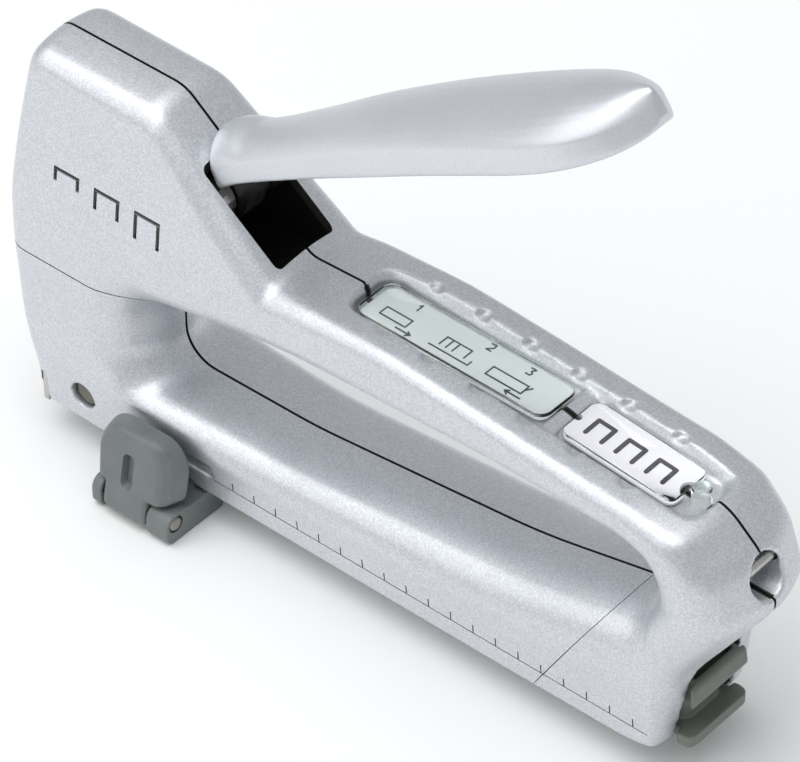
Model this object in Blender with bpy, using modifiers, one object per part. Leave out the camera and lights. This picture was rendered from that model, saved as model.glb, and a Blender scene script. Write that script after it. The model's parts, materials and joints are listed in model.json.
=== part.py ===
"""Hand staple gun: four cast shells, a squeeze lever, striker, magazine and side guide.

Frame: +X runs from the nose to the heel, +Y is the gun's right-hand side, +Z is up.
The origin is on the base plane, on the centre plane, behind the staple exit.
Dimensions below are millimetres; every object is built in metres.
"""

import math

import bmesh
import bpy
import numpy as np
from mathutils import Vector

MM = 0.001
GAP = 0.3

# Casing, side view at the centre plane: corner x, corner z, corner radius.
OUTER = (
    (-5.8, 0.0, 1.2),
    (-10.8, 19.0, 45.0),
    (-13.2, 40.0, 80.0),
    (-8.2, 77.3, 3.5),
    (20.8, 77.3, 7.0),
    (49.2, 55.0, 4.0),
    (74.0, 56.0, 120.0),
    (128.0, 52.4, 60.0),
    (139.8, 50.6, 9.0),
    (146.9, 44.6, 9.0),
    (150.6, 34.8, 5.0),
    (139.6, 17.0, 22.0),
    (136.3, 0.0, 2.5),
)
INNER = (
    (19.2, 15.6, 6.5),
    (19.2, 31.8, 6.0),
    (36.5, 38.0, 30.0),
    (52.0, 41.0, 60.0),
    (98.0, 42.8, 150.0),
    (131.0, 43.0, 8.0),
    (132.0, 28.6, 6.5),
    (100.7, 21.4, 120.0),
    (50.0, 16.0, 100.0),
)
# Sections across the casing: place on OUTER, place on INNER (whole numbers are corners),
# then crown height and edge radius on the outside, and the same on the finger side.
SECTIONS = (
    (0.0, -0.16, 0.8, 1.6, 4.0, 4.0),
    (0.4, -0.08, 1.8, 3.0, 6.0, 4.5),
    (1.0, 0.0, 1.8, 3.5, 7.5, 5.0),
    (1.55, 0.6, 1.8, 4.0, 7.8, 5.0),
    (2.0, 0.9, 1.8, 4.0, 7.0, 5.0),
    (3.0, 1.1, 1.5, 3.0, 5.5, 5.0),
    (4.0, 1.6, 1.7, 3.0, 4.0, 4.0),
    (4.5, 1.9, 2.5, 3.2, 3.2, 3.5),
    (5.0, 2.7, 2.0, 3.5, 3.0, 3.2),
    (5.3, 3.0, 1.4, 2.8, 3.0, 3.2),
    (6.0, 3.5, 1.0, 2.2, 3.0, 3.2),
    (7.0, 4.85, 1.2, 2.4, 3.2, 3.5),
    (8.0, 5.0, 2.4, 4.0, 4.0, 4.0),
    (9.0, 5.3, 4.8, 5.5, 5.0, 4.0),
    (10.0, 5.75, 5.0, 5.5, 5.2, 4.0),
    (11.0, 5.95, 4.6, 4.6, 5.2, 4.0),
    (11.5, 6.04, 3.8, 3.6, 5.2, 4.0),
    (11.96, 6.1, 2.4, 2.6, 5.0, 4.0),
    (12.04, 6.16, 0.3, 1.4, 4.8, 4.0),
    (12.25, 7.0, 0.0, 1.2, 4.2, 4.0),
    (12.61, 8.0, 0.0, 1.2, 2.8, 4.0),
    (12.9, 8.7, 0.0, 1.2, 3.2, 4.0),
    (13.0, 8.84, 0.8, 1.6, 4.0, 4.0),
)
WALL = 2.2

# Where the casing divides: level line in the head, slanting line in the heel.
SPLIT_Z = 34.5
SPLIT_REAR = (127.0, 30.2)
SPLIT_FOOT = (106.35, -5.0)

# Lever.
PIVOT = (30.0, 60.0)
PIVOT_R = 2.5
LEVER_RISE = 33.2
LEVER_SLOT = (30.6, 48.0, 7.3)

# Striker, blade and main spring.
BLADE = (-2.9, -2.0, 5.8)
STRIKER_X = (-6.4, 6.6)
STRIKER_Z = (39.0, 50.0)
STRIKER_HALF = 6.4
SPRING_TOP = 72.6
ARM_TIP = (8.0, 45.0)

# Magazine.
CHANNEL_X = (-1.1, 126.0)
CHANNEL_HALF = 6.9
CHANNEL_TOP = 10.6
SHEET = 1.0
STRIP_X = (-0.8, 60.0)
PUSHER_X = (60.4, 73.0)
ROD_Z = 5.6

# Label recess in the grip: a long pocket whose floor falls towards the heel.
RECESS_X = (60.4, 137.6)
RECESS_HALF = 7.0
RIM_Z = 56.3
RIM_SLOPE = -0.067
# Height from the rim, and how far the wall stands in from it: it leans outwards on top.
RECESS_WALL = ((-8.0, 1.5), (-2.2, 1.4), (0.0, 0.0), (4.0, -1.2))
RECESS_FLOOR = ((58.0, 51.2), (104.4, 51.2), (104.5, 52.5), (107.2, 51.9), (107.3, 51.1),
                (138.5, 48.2))
FLOOR_THICK = 2.4
LABEL_X = (107.8, 131.6)
LABEL_SLOPE = -0.093

# Lanyard bar across the hollow in the heel.
BAR = (145.5, 41.4)

# Side guide.
GUIDE_X = (16.3, 34.4)
GUIDE_PIN = (-20.5, -2.2)
FLAP_TONGUE = (18.8, 29.0)
FLAP_LOW = 0.5
FLAP_FOOT = -4.6
# Depth from the back, then left edge, right edge, top and trim of the flap's outline.
FLAP_RINGS = (
    (0.0, 15.4, 34.0, 11.9, 0.4),
    (0.5, 15.0, 34.4, 12.3, 0.0),
    (3.4, 15.8, 33.0, 12.7, 0.0),
    (4.5, 16.3, 31.8, 12.6, 0.2),
    (4.9, 16.9, 30.8, 12.0, 0.8),
)

SCREWS = {"screw_nose": (6.6, 28.0), "screw_grip_front": (55.0, 48.2),
          "screw_grip_rear": (138.2, 40.4), "screw_heel": (122.0, 15.4),
          "screw_beam": (103.0, 14.6)}


# ---------------------------------------------------------------- scene set-up


def clear_scene():
    for obj in list(bpy.data.objects):
        bpy.data.objects.remove(obj, do_unlink=True)


def new_collection(name):
    collection = bpy.data.collections.new(name)
    bpy.context.scene.collection.children.link(collection)
    return collection


clear_scene()
GUN = new_collection("staple_gun")
CUTTERS = new_collection("cutters")
CUTTERS.hide_render = True

FINISHES = {
    "shell": ((0.60, 0.62, 0.65), 0.42, 0.85),
    "lever": ((0.66, 0.68, 0.71), 0.30, 0.85),
    "steel": ((0.55, 0.55, 0.56), 0.28, 1.0),
    "dark_steel": ((0.22, 0.22, 0.23), 0.40, 1.0),
    "guide": ((0.18, 0.21, 0.21), 0.45, 0.0),
    "latch": ((0.10, 0.115, 0.105), 0.40, 0.0),
    "rubber": ((0.03, 0.03, 0.03), 0.80, 0.0),
    "card": ((0.85, 0.85, 0.83), 0.70, 0.0),
    "clear": ((0.80, 0.88, 0.84), 0.05, 0.0),
}


def material_for(obj, finish):
    colour, roughness, metallic = FINISHES[finish]
    material = bpy.data.materials.new(obj.name)
    material.use_nodes = True
    shader = material.node_tree.nodes["Principled BSDF"]
    shader.inputs["Base Color"].default_value = (*colour, 1.0)
    shader.inputs["Roughness"].default_value = roughness
    shader.inputs["Metallic"].default_value = metallic
    if finish == "clear":
        shader.inputs["Transmission Weight"].default_value = 0.9
    obj.data.materials.append(material)


def add_object(name, points, faces, finish=None, origin=(0.0, 0.0, 0.0)):
    """A mesh object from points in millimetres; finish None makes a hidden cutter."""
    origin = np.array(origin)
    mesh = bpy.data.meshes.new(name)
    local = (np.array(points, dtype=float) - origin) * MM
    mesh.from_pydata([tuple(p) for p in local], [], [tuple(f) for f in faces])
    obj = bpy.data.objects.new(name, mesh)
    obj.location = Vector(origin * MM)
    face_outwards(mesh)
    if finish is None:
        CUTTERS.objects.link(obj)
        obj.hide_render = True
        obj.display_type = "WIRE"
    else:
        GUN.objects.link(obj)
        material_for(obj, finish)
    return obj


def face_outwards(mesh):
    bm = bmesh.new()
    bm.from_mesh(mesh)
    bmesh.ops.recalc_face_normals(bm, faces=bm.faces)
    if bm.calc_volume(signed=True) < 0:
        bmesh.ops.reverse_faces(bm, faces=bm.faces)
    bm.to_mesh(mesh)
    bm.free()


def triangulate(mesh):
    bm = bmesh.new()
    bm.from_mesh(mesh)
    bmesh.ops.triangulate(bm, faces=bm.faces)
    bm.to_mesh(mesh)
    bm.free()


def cut_together(obj, name, tools):
    """Removes several tools from an object in one exact step."""
    group = bpy.data.collections.get(name)
    if group is None:
        group = bpy.data.collections.new(name)
        CUTTERS.children.link(group)
        for tool in tools:
            CUTTERS.objects.unlink(tool)
            group.objects.link(tool)
    modifier = obj.modifiers.new(name, "BOOLEAN")
    modifier.operation = "DIFFERENCE"
    modifier.solver = "EXACT"
    modifier.operand_type = "COLLECTION"
    modifier.collection = group


def boolean(obj, operation, *tools):
    for tool in tools:
        modifier = obj.modifiers.new(tool.name, "BOOLEAN")
        modifier.operation = operation
        modifier.solver = "EXACT"
        modifier.object = tool
    return obj


def bevel(obj, width, segments=2, angle=40.0):
    modifier = obj.modifiers.new("edges", "BEVEL")
    modifier.width = width * MM
    modifier.segments = segments
    modifier.limit_method = "ANGLE"
    modifier.angle_limit = math.radians(angle)
    return obj


# ---------------------------------------------------------------- basic shapes


def box(name, low, high, finish=None, origin=(0, 0, 0)):
    corners = [(x, y, z) for x in (low[0], high[0]) for y in (low[1], high[1])
               for z in (low[2], high[2])]
    faces = [(0, 1, 3, 2), (4, 6, 7, 5), (0, 4, 5, 1), (2, 3, 7, 6), (0, 2, 6, 4),
             (1, 5, 7, 3)]
    return add_object(name, corners, faces, finish, origin)


def loft(name, rings, finish=None, origin=(0, 0, 0), closed=False):
    """Joins equal rings of points into one skin, with flat ends unless it is closed."""
    rings = [np.array(ring, dtype=float) for ring in rings]
    size = len(rings[0])
    points = np.concatenate(rings)
    faces = []
    count = len(rings)
    for i in range(count if closed else count - 1):
        a = i * size
        b = ((i + 1) % count) * size
        for j in range(size):
            k = (j + 1) % size
            faces.append((a + j, a + k, b + k, b + j))
    if not closed:
        faces.append(tuple(range(size))[::-1])
        faces.append(tuple((count - 1) * size + j for j in range(size)))
    return add_object(name, points, faces, finish, origin)


def prism_y(name, outline, y0, y1, finish=None, origin=(0, 0, 0)):
    """An outline in x and z, carried from y0 to y1."""
    rings = [[(x, y, z) for x, z in outline] for y in (y0, y1)]
    return loft(name, rings, finish, origin)


def prism_x(name, outline, x0, x1, finish=None, origin=(0, 0, 0)):
    """An outline in y and z, carried from x0 to x1."""
    rings = [[(x, y, z) for y, z in outline] for x in (x0, x1)]
    return loft(name, rings, finish, origin)


def prism_z(name, outline, z0, z1, finish=None, origin=(0, 0, 0)):
    """An outline in x and y, carried from z0 to z1."""
    rings = [[(x, y, z) for x, y in outline] for z in (z0, z1)]
    return loft(name, rings, finish, origin)


def circle(cx, cy, r, count=24, start=0.0):
    angles = [start + 2 * math.pi * i / count for i in range(count)]
    return [(cx + r * math.cos(a), cy + r * math.sin(a)) for a in angles]


def turned(name, axis, centre, profile, finish=None, origin=(0, 0, 0), count=24):
    """A shape turned about an axis: profile is (distance along the axis, radius)."""
    rings = []
    for along, radius in profile:
        ring = circle(centre[0], centre[1], radius, count)
        if axis == "X":
            rings.append([(along, a, b) for a, b in ring])
        elif axis == "Y":
            rings.append([(a, along, b) for a, b in ring])
        else:
            rings.append([(a, b, along) for a, b in ring])
    return loft(name, rings, finish, origin)


def round_corner(before, corner, after, radius, steps):
    """Points of the arc that replaces a corner."""
    before, corner, after = (np.array(p, dtype=float) for p in (before, corner, after))
    u = (before - corner) / np.linalg.norm(before - corner)
    v = (after - corner) / np.linalg.norm(after - corner)
    half = math.acos(np.clip(np.dot(u, v), -1, 1)) / 2
    reach = min(radius / math.tan(half), 0.48 * np.linalg.norm(before - corner),
                0.48 * np.linalg.norm(after - corner))
    radius = reach * math.tan(half)
    middle = (u + v) / np.linalg.norm(u + v)
    centre = corner + middle * radius / math.sin(half)
    start = corner + u * reach - centre
    end = corner + v * reach - centre
    turn = math.atan2(start[0] * end[1] - start[1] * end[0], np.dot(start, end))
    points = []
    for i in range(steps + 1):
        a = turn * i / steps
        c, s = math.cos(a), math.sin(a)
        points.append(centre + (c * start[0] - s * start[1], s * start[0] + c * start[1]))
    return points


def rounded(corners, steps=4):
    """Closed outline with its corners rounded: corners are (x, z, radius)."""
    points = []
    count = len(corners)
    for i in range(count):
        before, corner, after = (corners[(i + k) % count] for k in (-1, 0, 1))
        points += round_corner(before[:2], corner[:2], after[:2], corner[2], steps)
    return points


def rounded_box(x0, x1, z0, z1, r, steps=4):
    return rounded(((x0, z0, r), (x1, z0, r), (x1, z1, r), (x0, z1, r)), steps)


def coil(name, axis, centre, start, end, radius, wire, turns, finish, per_turn=14):
    """Helical spring with a round wire, as one closed tube."""
    steps = int(turns * per_turn)
    rings = []
    slope = (end - start - 2 * wire) / (2 * math.pi * turns)
    for i in range(steps + 1):
        a = 2 * math.pi * turns * i / steps
        along = start + wire + slope * a
        c, s = math.cos(a), math.sin(a)
        ring = []
        for k in range(6):
            b = 2 * math.pi * k / 6
            out = radius + wire * math.cos(b)
            ring.append((along + wire * math.sin(b), centre[0] + out * c,
                         centre[1] + out * s))
        rings.append(ring)
    if axis == "Z":
        rings = [[(q, r, p) for p, q, r in ring] for ring in rings]
    return loft(name, rings, finish)


# ---------------------------------------------------------------- casing


def half_width(z):
    """Half the casing's width at a height: it narrows to the head and to the base."""
    if z < 13.0:
        return 12.9 + 1.1 * max(z, 0.0) / 13.0
    if z < 44.0:
        return 14.0 - 0.3 * (z - 13.0) / 31.0
    return 13.7 - 4.1 * ((z - 44.0) / 31.0) ** 1.5


class Loop:
    """A rounded outline that can be read by corner number, with fractions between."""

    def __init__(self, corners, steps, longest):
        self.count = len(corners)
        arc = rounded(corners, steps)
        self.points = []
        marks = []
        for i in range(self.count):
            piece = arc[i * (steps + 1):(i + 1) * (steps + 1)]
            following = arc[((i + 1) * (steps + 1)) % len(arc)]
            marks.append(len(self.points) + steps / 2)
            self.points += piece
            gap = np.linalg.norm(following - piece[-1])
            parts = max(1, math.ceil(gap / longest))
            for k in range(1, parts):
                self.points.append(piece[-1] + (following - piece[-1]) * k / parts)
        closed = np.array(self.points + [self.points[0]])
        lengths = np.linalg.norm(np.diff(closed, axis=0), axis=1)
        self.along = np.concatenate([[0.0], np.cumsum(lengths)])
        self.total = self.along[-1]
        self.closed = closed
        at = np.interp(marks, np.arange(len(self.along)), self.along)
        self.marks = np.concatenate([at, [at[0] + self.total]])

    def number_at(self, distance):
        turned_back = distance < self.marks[0]
        distance = distance + self.total if turned_back else distance
        return float(np.interp(distance, self.marks, np.arange(self.count + 1)))

    def at(self, number):
        number = number % self.count
        distance = np.interp(number, np.arange(self.count + 1), self.marks) % self.total
        return np.array([np.interp(distance, self.along, self.closed[:, k])
                         for k in (0, 1)])


def section(start, end, inset, crown_out, round_out, crown_in, round_in, arc, side):
    """Half of a cross-section, from the outer seam over the side to the inner seam."""
    length = np.linalg.norm(end - start)
    step = (end - start) / length

    def place(distance, y):
        x, z = start + step * distance
        return np.array([x, y, z])

    def width_at(distance):
        return half_width((start + step * distance)[1]) - inset

    near, far = inset, length - inset
    squeeze = min(1.0, 0.5 * (far - near) / (crown_out + crown_in))
    crown_out, crown_in = crown_out * squeeze, crown_in * squeeze
    s_out, s_in = near + crown_out, far - crown_in
    round_out, round_in = (min(r, 0.42 * (s_in - s_out)) for r in (round_out, round_in))
    points = []
    for t in np.linspace(0, 1, 3):
        y = t * (width_at(s_out) - round_out)
        points.append(place(near + crown_out * (y / width_at(s_out)) ** 2, y))
    points += corner_points(place, width_at, s_out, crown_out, near, round_out, arc, 1)
    low, high = s_out + round_out, s_in - round_in
    for t in np.linspace(0, 1, side + 2)[1:-1]:
        distance = low + (high - low) * t
        points.append(place(distance, width_at(distance)))
    points += corner_points(place, width_at, s_in, crown_in, far, round_in, arc, -1)
    for t in np.linspace(1, 0, 3):
        y = t * (width_at(s_in) - round_in)
        points.append(place(far - crown_in * (y / width_at(s_in)) ** 2, y))
    return points


def corner_points(place, width_at, corner, crown, flat, radius, arc, sign):
    """The rounded edge where a crowned face meets the side."""
    width = width_at(corner)
    y0 = width - radius
    a = place(flat + sign * crown * (y0 / width) ** 2, y0)
    b = place(corner, width)
    c = place(corner + sign * radius, width_at(corner + sign * radius))
    points = []
    for i in range(1, arc + 1):
        t = i / arc
        weight = 0.707
        w = (1 - t) ** 2 + 2 * weight * t * (1 - t) + t ** 2
        points.append(((1 - t) ** 2 * a + 2 * weight * t * (1 - t) * b + t ** 2 * c) / w)
    return points if sign > 0 else points[::-1]


def casing(name, inset, steps, longest, arc, side):
    """The casing's solid form round the finger opening, made smaller by inset."""
    outer = Loop(OUTER, steps, longest)
    inner = Loop(INNER, steps, longest)
    table = np.array(SECTIONS)
    rings = []
    for distance, point in zip(outer.along, outer.points):
        number = outer.number_at(distance)
        row = [np.interp(number, table[:, 0], table[:, k]) for k in range(1, 6)]
        end = inner.at(row[0])
        rounds = [max(0.6, row[2] - 0.6 * inset), max(0.6, row[4] - 0.6 * inset)]
        half = section(point, end, inset, row[1], rounds[0], row[3], rounds[1], arc, side)
        mirrored = [p * (1, -1, 1) for p in half[1:-1]][::-1]
        rings.append(half + mirrored)
    form = loft(name, rings, closed=True)
    triangulate(form.data)
    return form


def shell_cavity():
    """The hollow inside the casing, with screw bosses and pin sockets left standing."""
    cavity = casing("cavity", WALL, 2, 16.0, 2, 0)
    keep = [turned("boss_" + name, "Y", at, ((-16, 3.6), (16, 3.6)), count=12)
            for name, at in SCREWS.items()]
    for side in (-1, 1):
        low, high = sorted((side * 7.4, side * 16.0))
        keep.append(turned(f"pin_socket_{side}", "Y", PIVOT, ((low, 5.0), (high, 5.0)),
                           count=16))
    slab = [(x, z - FLOOR_THICK) for x, z in (RECESS_FLOOR[0], RECESS_FLOOR[3], (142, 46.7))]
    keep.append(prism_y("label_floor", slab + [(142, 70), (58, 70)], -9.5, 9.5))
    keep.append(box("rear_wall", (141.0, -12.0, 33.0), (160.0, 12.0, 60.0)))
    return boolean(cavity, "DIFFERENCE", *keep)


def shell_openings():
    """Tools that open both sides of the casing."""
    x0, x1, half = LEVER_SLOT
    slope = ((x0, 45.0), (x1, 45.0), (x1, 62.0), (x0, 90.0))
    tools = [prism_y("lever_slot", slope, -half, half)]
    tools.append(box("channel_slot", (-3.3, -7.2, -2.0), (150.0, 7.2, 3.0)))
    tools.append(box("nose_slot", (-5.0, -15.0, -2.0), (-3.1, 15.0, 6.8)))
    tools.append(box("nose_tongue", (-5.0, -7.5, 4.0), (-3.1, 7.5, 27.0)))
    flank = [(8.4, -2.0), (7.3, 7.0), (6.9, 14.0), (6.2, 20.0), (4.2, 26.5), (1.9, 31.2)]
    arch = [(-y, z) for y, z in flank] + [(0.0, 34.0)] + flank[::-1]
    tools.append(boolean(prism_x("rear_arch", arch, 128.0, 160.0), "DIFFERENCE",
                         box("opening_wall", (120.0, -20.0, 24.0), (134.6, 20.0, 50.0))))
    tools.append(label_recess())
    oval = rounded_box(-3.9, 3.9, 36.4, 44.4, 3.8, 4)
    tools.append(prism_x("bar_recess", oval, 143.4, 160.0))
    tools.append(turned("bar_hole", "Y", BAR, ((-5.0, 1.35), (5.0, 1.35)), count=12))
    tools.append(turned("pin_hole", "Y", PIVOT, ((-10.6, 2.8), (10.6, 2.8)), count=16))
    return tools


def label_recess():
    """The label pocket: its rim falls towards the heel, and a low bridge crosses it."""
    rings = []
    for height, inset in RECESS_WALL:
        half = RECESS_HALF - inset
        plan = rounded_box(RECESS_X[0] + inset, RECESS_X[1] - inset, -half, half, 3.0, 4)
        rings.append([(x, y, RIM_Z + RIM_SLOPE * (x - RECESS_X[0]) + height)
                      for x, y in plan])
    pocket = loft("label_recess", rings)
    above = prism_y("above_floor", RECESS_FLOOR + ((138.5, 62), (58, 62)), -12, 12)
    return boolean(pocket, "INTERSECT", above)


def screw_tools():
    tools = []
    for name, (x, z) in SCREWS.items():
        reach = half_width(z)
        profile = ((-reach + 3.6, 1.7), (reach - 3.4, 1.7), (reach - 3.4, 3.0),
                   (reach + 3.0, 3.0))
        tools.append(turned("hole_" + name, "Y", (x, z), profile, count=12))
    return tools


def side_tools():
    """Openings in the near side only: the nose pin's hole and the guide's notch."""
    pin = turned("nose_pin_hole", "Y", (5.8, 6.7), ((-16.0, 2.7), (-10.0, 2.7)), count=16)
    notch = box("guide_notch", (17.0, -17.0, 4.9), (36.6, -11.4, 7.6))
    groove = box("guide_groove", (18.0, -17.0, -2.0), (31.6, -7.7, 1.3))
    return [pin, notch, groove]


def regions():
    """The four parts of space that the casing divides into, a small gap apart."""
    g = GAP
    low = ((-40, SPLIT_Z - g), (40, SPLIT_Z - g), (SPLIT_REAR[0] - g, SPLIT_REAR[1] - g),
           (SPLIT_FOOT[0] - g, SPLIT_FOOT[1]), (-40, SPLIT_FOOT[1]))
    high = ((-40, SPLIT_Z), (40, SPLIT_Z), SPLIT_REAR, SPLIT_FOOT, (190, SPLIT_FOOT[1]),
            (190, 120), (-40, 120))
    found = {}
    for level, outline in (("lower", low), ("upper", high)):
        found[level + "_left"] = prism_y("region_" + level + "_left", outline, -30, -g / 2)
        found[level + "_right"] = prism_y("region_" + level + "_right", outline, g / 2, 30)
    return found


def build_casing():
    cavity = shell_cavity()
    common = shell_openings() + screw_tools()
    near = side_tools()
    for place, region in regions().items():
        shell = casing(place + "_form", 0.0, 3, 13.0, 3, 1)
        mesh = shell.data
        bpy.data.objects.remove(shell)
        obj = bpy.data.objects.new(place_name(place), mesh)
        GUN.objects.link(obj)
        material_for(obj, "shell")
        boolean(obj, "INTERSECT", region)
        cut_together(obj, "hollows", [cavity] + common)
        if place == "lower_left":
            boolean(obj, "DIFFERENCE", *near)


def place_name(place):
    level, side = place.split("_")
    return f"{level}_shell_{side}"


# ---------------------------------------------------------------- nose and striker


def build_nose():
    outline = ((-12.6, 0.0), (12.6, 0.0), (12.6, 6.4), (7.2, 6.4), (7.2, 26.6),
               (-7.2, 26.6), (-7.2, 6.4), (-12.6, 6.4))
    prism_x("nose_plate", outline, -4.6, -3.4, "steel")
    profile = ((-13.1, 1.6), (-12.6, 2.4), (-10.3, 2.4))
    turned("nose_pin", "Y", (5.8, 6.7), profile, "steel", (5.8, -11.0, 6.7), 16)


def build_striker():
    x0, x1 = STRIKER_X
    z0, z1 = STRIKER_Z
    block = box("striker", (x0, -STRIKER_HALF, z0), (x1, STRIKER_HALF, z1), "dark_steel")
    window = box("arm_window", (-1.4, -3.4, 41.4), (20, 3.4, 48.8))
    seat = box("blade_seat", (BLADE[0] - 0.3, -6.0, 30.0), (BLADE[1] + 0.3, 6.0, 47.4))
    boolean(block, "DIFFERENCE", window, seat)
    low, high, half = BLADE
    outline = ((-half, 0.6), (half, 0.6), (half, 47.0), (-half, 47.0))
    prism_x("driver_blade", outline, low, high, "steel")
    spring_centre = (0.0, 0.0)
    coil("main_spring", "Z", spring_centre, STRIKER_Z[1] + 0.3, SPRING_TOP - 0.3, 4.9,
         0.75, 4.5, "steel")
    cap = ((64.8, 2.6), (72.6, 3.0), (72.6, 6.6), (74.0, 6.6))
    turned("spring_cap", "Z", spring_centre, cap, "steel", (0, 0, 72.6), 20)
    pad = box("striker_pad", (-1.0, -5.6, 34.6), (6.5, 5.6, 38.6), "rubber")
    bevel(pad, 0.6, 1)


# ---------------------------------------------------------------- lever


LEVER_STATIONS = (
    (-2.0, 6.2, 2.5, 6.8, -0.6),
    (-0.6, 6.6, 3.6, 8.8, -0.3),
    (3.5, 6.7, 3.9, 9.3, 0.0),
    (9.0, 6.8, 3.4, 8.1, 0.0),
    (24.0, 7.7, 3.5, 8.6, -0.2),
    (40.0, 9.4, 3.8, 9.6, -0.4),
    (56.0, 10.9, 3.7, 9.8, -0.7),
    (70.0, 12.0, 3.2, 9.3, -1.3),
    (82.0, 12.4, 2.4, 8.6, -2.0),
    (91.0, 11.3, 1.9, 7.9, -2.4),
    (98.0, 8.2, 1.4, 6.9, -2.5),
    (102.6, 4.6, 1.5, 6.2, -2.0),
    (105.0, 2.0, 1.6, 5.5, -1.0),
    (105.8, 0.9, 1.9, 4.8, 0.2),
)
LEVER_START = (35.0, 66.6)


def lever_point(along, up):
    """A point of the raised lever, from its distance along and above the underside."""
    a = math.radians(LEVER_RISE)
    return (LEVER_START[0] + along * math.cos(a) - up * math.sin(a),
            LEVER_START[1] + along * math.sin(a) + up * math.cos(a))


def lever_ring(along, half, side, top, bottom):
    """A paddle's cross-section: flat below, rounded edges, crowned on top."""
    rise = side - bottom
    outline = [(half * 0.93, bottom), (half * 0.99, bottom + 0.15 * rise),
               (half, bottom + 0.5 * rise)]
    for t in (0.93, 0.75, 0.5, 0.25):
        outline.append((half * t, side + (top - side) * (1 - t ** 2) ** 0.7))
    ring = outline + [(0.0, top)] + [(-y, z) for y, z in outline[::-1]]
    points = []
    for y, z in ring:
        px, pz = lever_point(along, z)
        points.append((px, y, pz))
    return points


def smooth_stations(rows, parts):
    """Rows between the given ones, on smooth curves through them."""
    rows = np.array(rows)
    found = []
    for i in range(len(rows) - 1):
        a, b = rows[max(i - 1, 0)], rows[i]
        c, d = rows[i + 1], rows[min(i + 2, len(rows) - 1)]
        for k in range(parts):
            t = k / parts
            m0 = (c - a) / max(c[0] - a[0], 1e-9) * (c[0] - b[0])
            m1 = (d - b) / max(d[0] - b[0], 1e-9) * (c[0] - b[0])
            row = ((2 * t ** 3 - 3 * t ** 2 + 1) * b + (t ** 3 - 2 * t ** 2 + t) * m0
                   + (-2 * t ** 3 + 3 * t ** 2) * c + (t ** 3 - t ** 2) * m1)
            row[0] = b[0] + (c[0] - b[0]) * t
            found.append(row)
    found.append(rows[-1])
    return found


def build_lever():
    pivot = (PIVOT[0], 0.0, PIVOT[1])
    rings = [lever_ring(*row) for row in smooth_stations(LEVER_STATIONS, 2)]
    grip = loft("lever_grip", rings, "lever", pivot)
    slot = [lever_point(-4, -4), lever_point(30, -4), lever_point(30, 5.3),
            lever_point(-4, 5.3)]
    boolean(grip, "DIFFERENCE", prism_y("arm_slot", slot, -2.8, 2.8))
    for i, along in enumerate((10.0, 24.0)):
        x, z = lever_point(along, 3.0)
        hole = turned(f"rivet_hole_{i}", "Y", (x, z), ((-5.3, 1.5), (5.3, 1.5)), count=12)
        boolean(grip, "DIFFERENCE", hole)
        turned(("lever_rivet_front", "lever_rivet_rear")[i], "Y", (x, z),
               ((-5.0, 1.2), (5.0, 1.2)), "steel", (x, 0, z), 12)
    arm = (ARM_TIP[0] - 2.4, ARM_TIP[1] - 1.6, 1.2), (ARM_TIP[0] + 1.4, ARM_TIP[1] - 2.4, 1.2)
    foot = lever_point(29.6, 0.6)
    head = lever_point(29.6, 4.9)
    brow = lever_point(1.2, 3.6)
    heel = lever_point(6.0, 0.6)
    outline = rounded((*arm, (29.0, 54.8, 3.0), (35.4, 57.0, 4.0), (*heel, 4.0),
                       (*foot, 0.8), (*head, 0.8), (*brow, 2.0), (27.2, 63.8, 4.0),
                       (ARM_TIP[0] - 1.8, ARM_TIP[1] + 2.2, 1.6)), 2)
    plate = prism_y("lever_arm", outline, -2.5, 2.5, "dark_steel", pivot)
    bore = turned("arm_bore", "Y", PIVOT, ((-3, PIVOT_R + 0.3), (3, PIVOT_R + 0.3)),
                  count=20)
    boolean(plate, "DIFFERENCE", bore)
    for i, along in enumerate((10.0, 24.0)):
        x, z = lever_point(along, 3.0)
        boolean(plate, "DIFFERENCE", turned(f"arm_rivet_hole_{i}", "Y", (x, z),
                                            ((-3, 1.5), (3, 1.5)), count=12))
    turned("lever_pin", "Y", PIVOT, ((-10.2, PIVOT_R - 0.3), (-9.9, PIVOT_R),
                                     (9.9, PIVOT_R), (10.2, PIVOT_R - 0.3)),
           "steel", pivot, 20)
    for name, side in (("pivot_washer_left", -1), ("pivot_washer_right", 1)):
        washer = turned(name, "Y", PIVOT, sorted(((side * 2.9, 4.6), (side * 7.0, 4.6))),
                        "steel", (PIVOT[0], side * 5, PIVOT[1]), 20)
        boolean(washer, "DIFFERENCE", turned(name + "_bore", "Y", PIVOT,
                                             ((-8, 2.8), (8, 2.8)), count=20))


# ---------------------------------------------------------------- magazine


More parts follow.
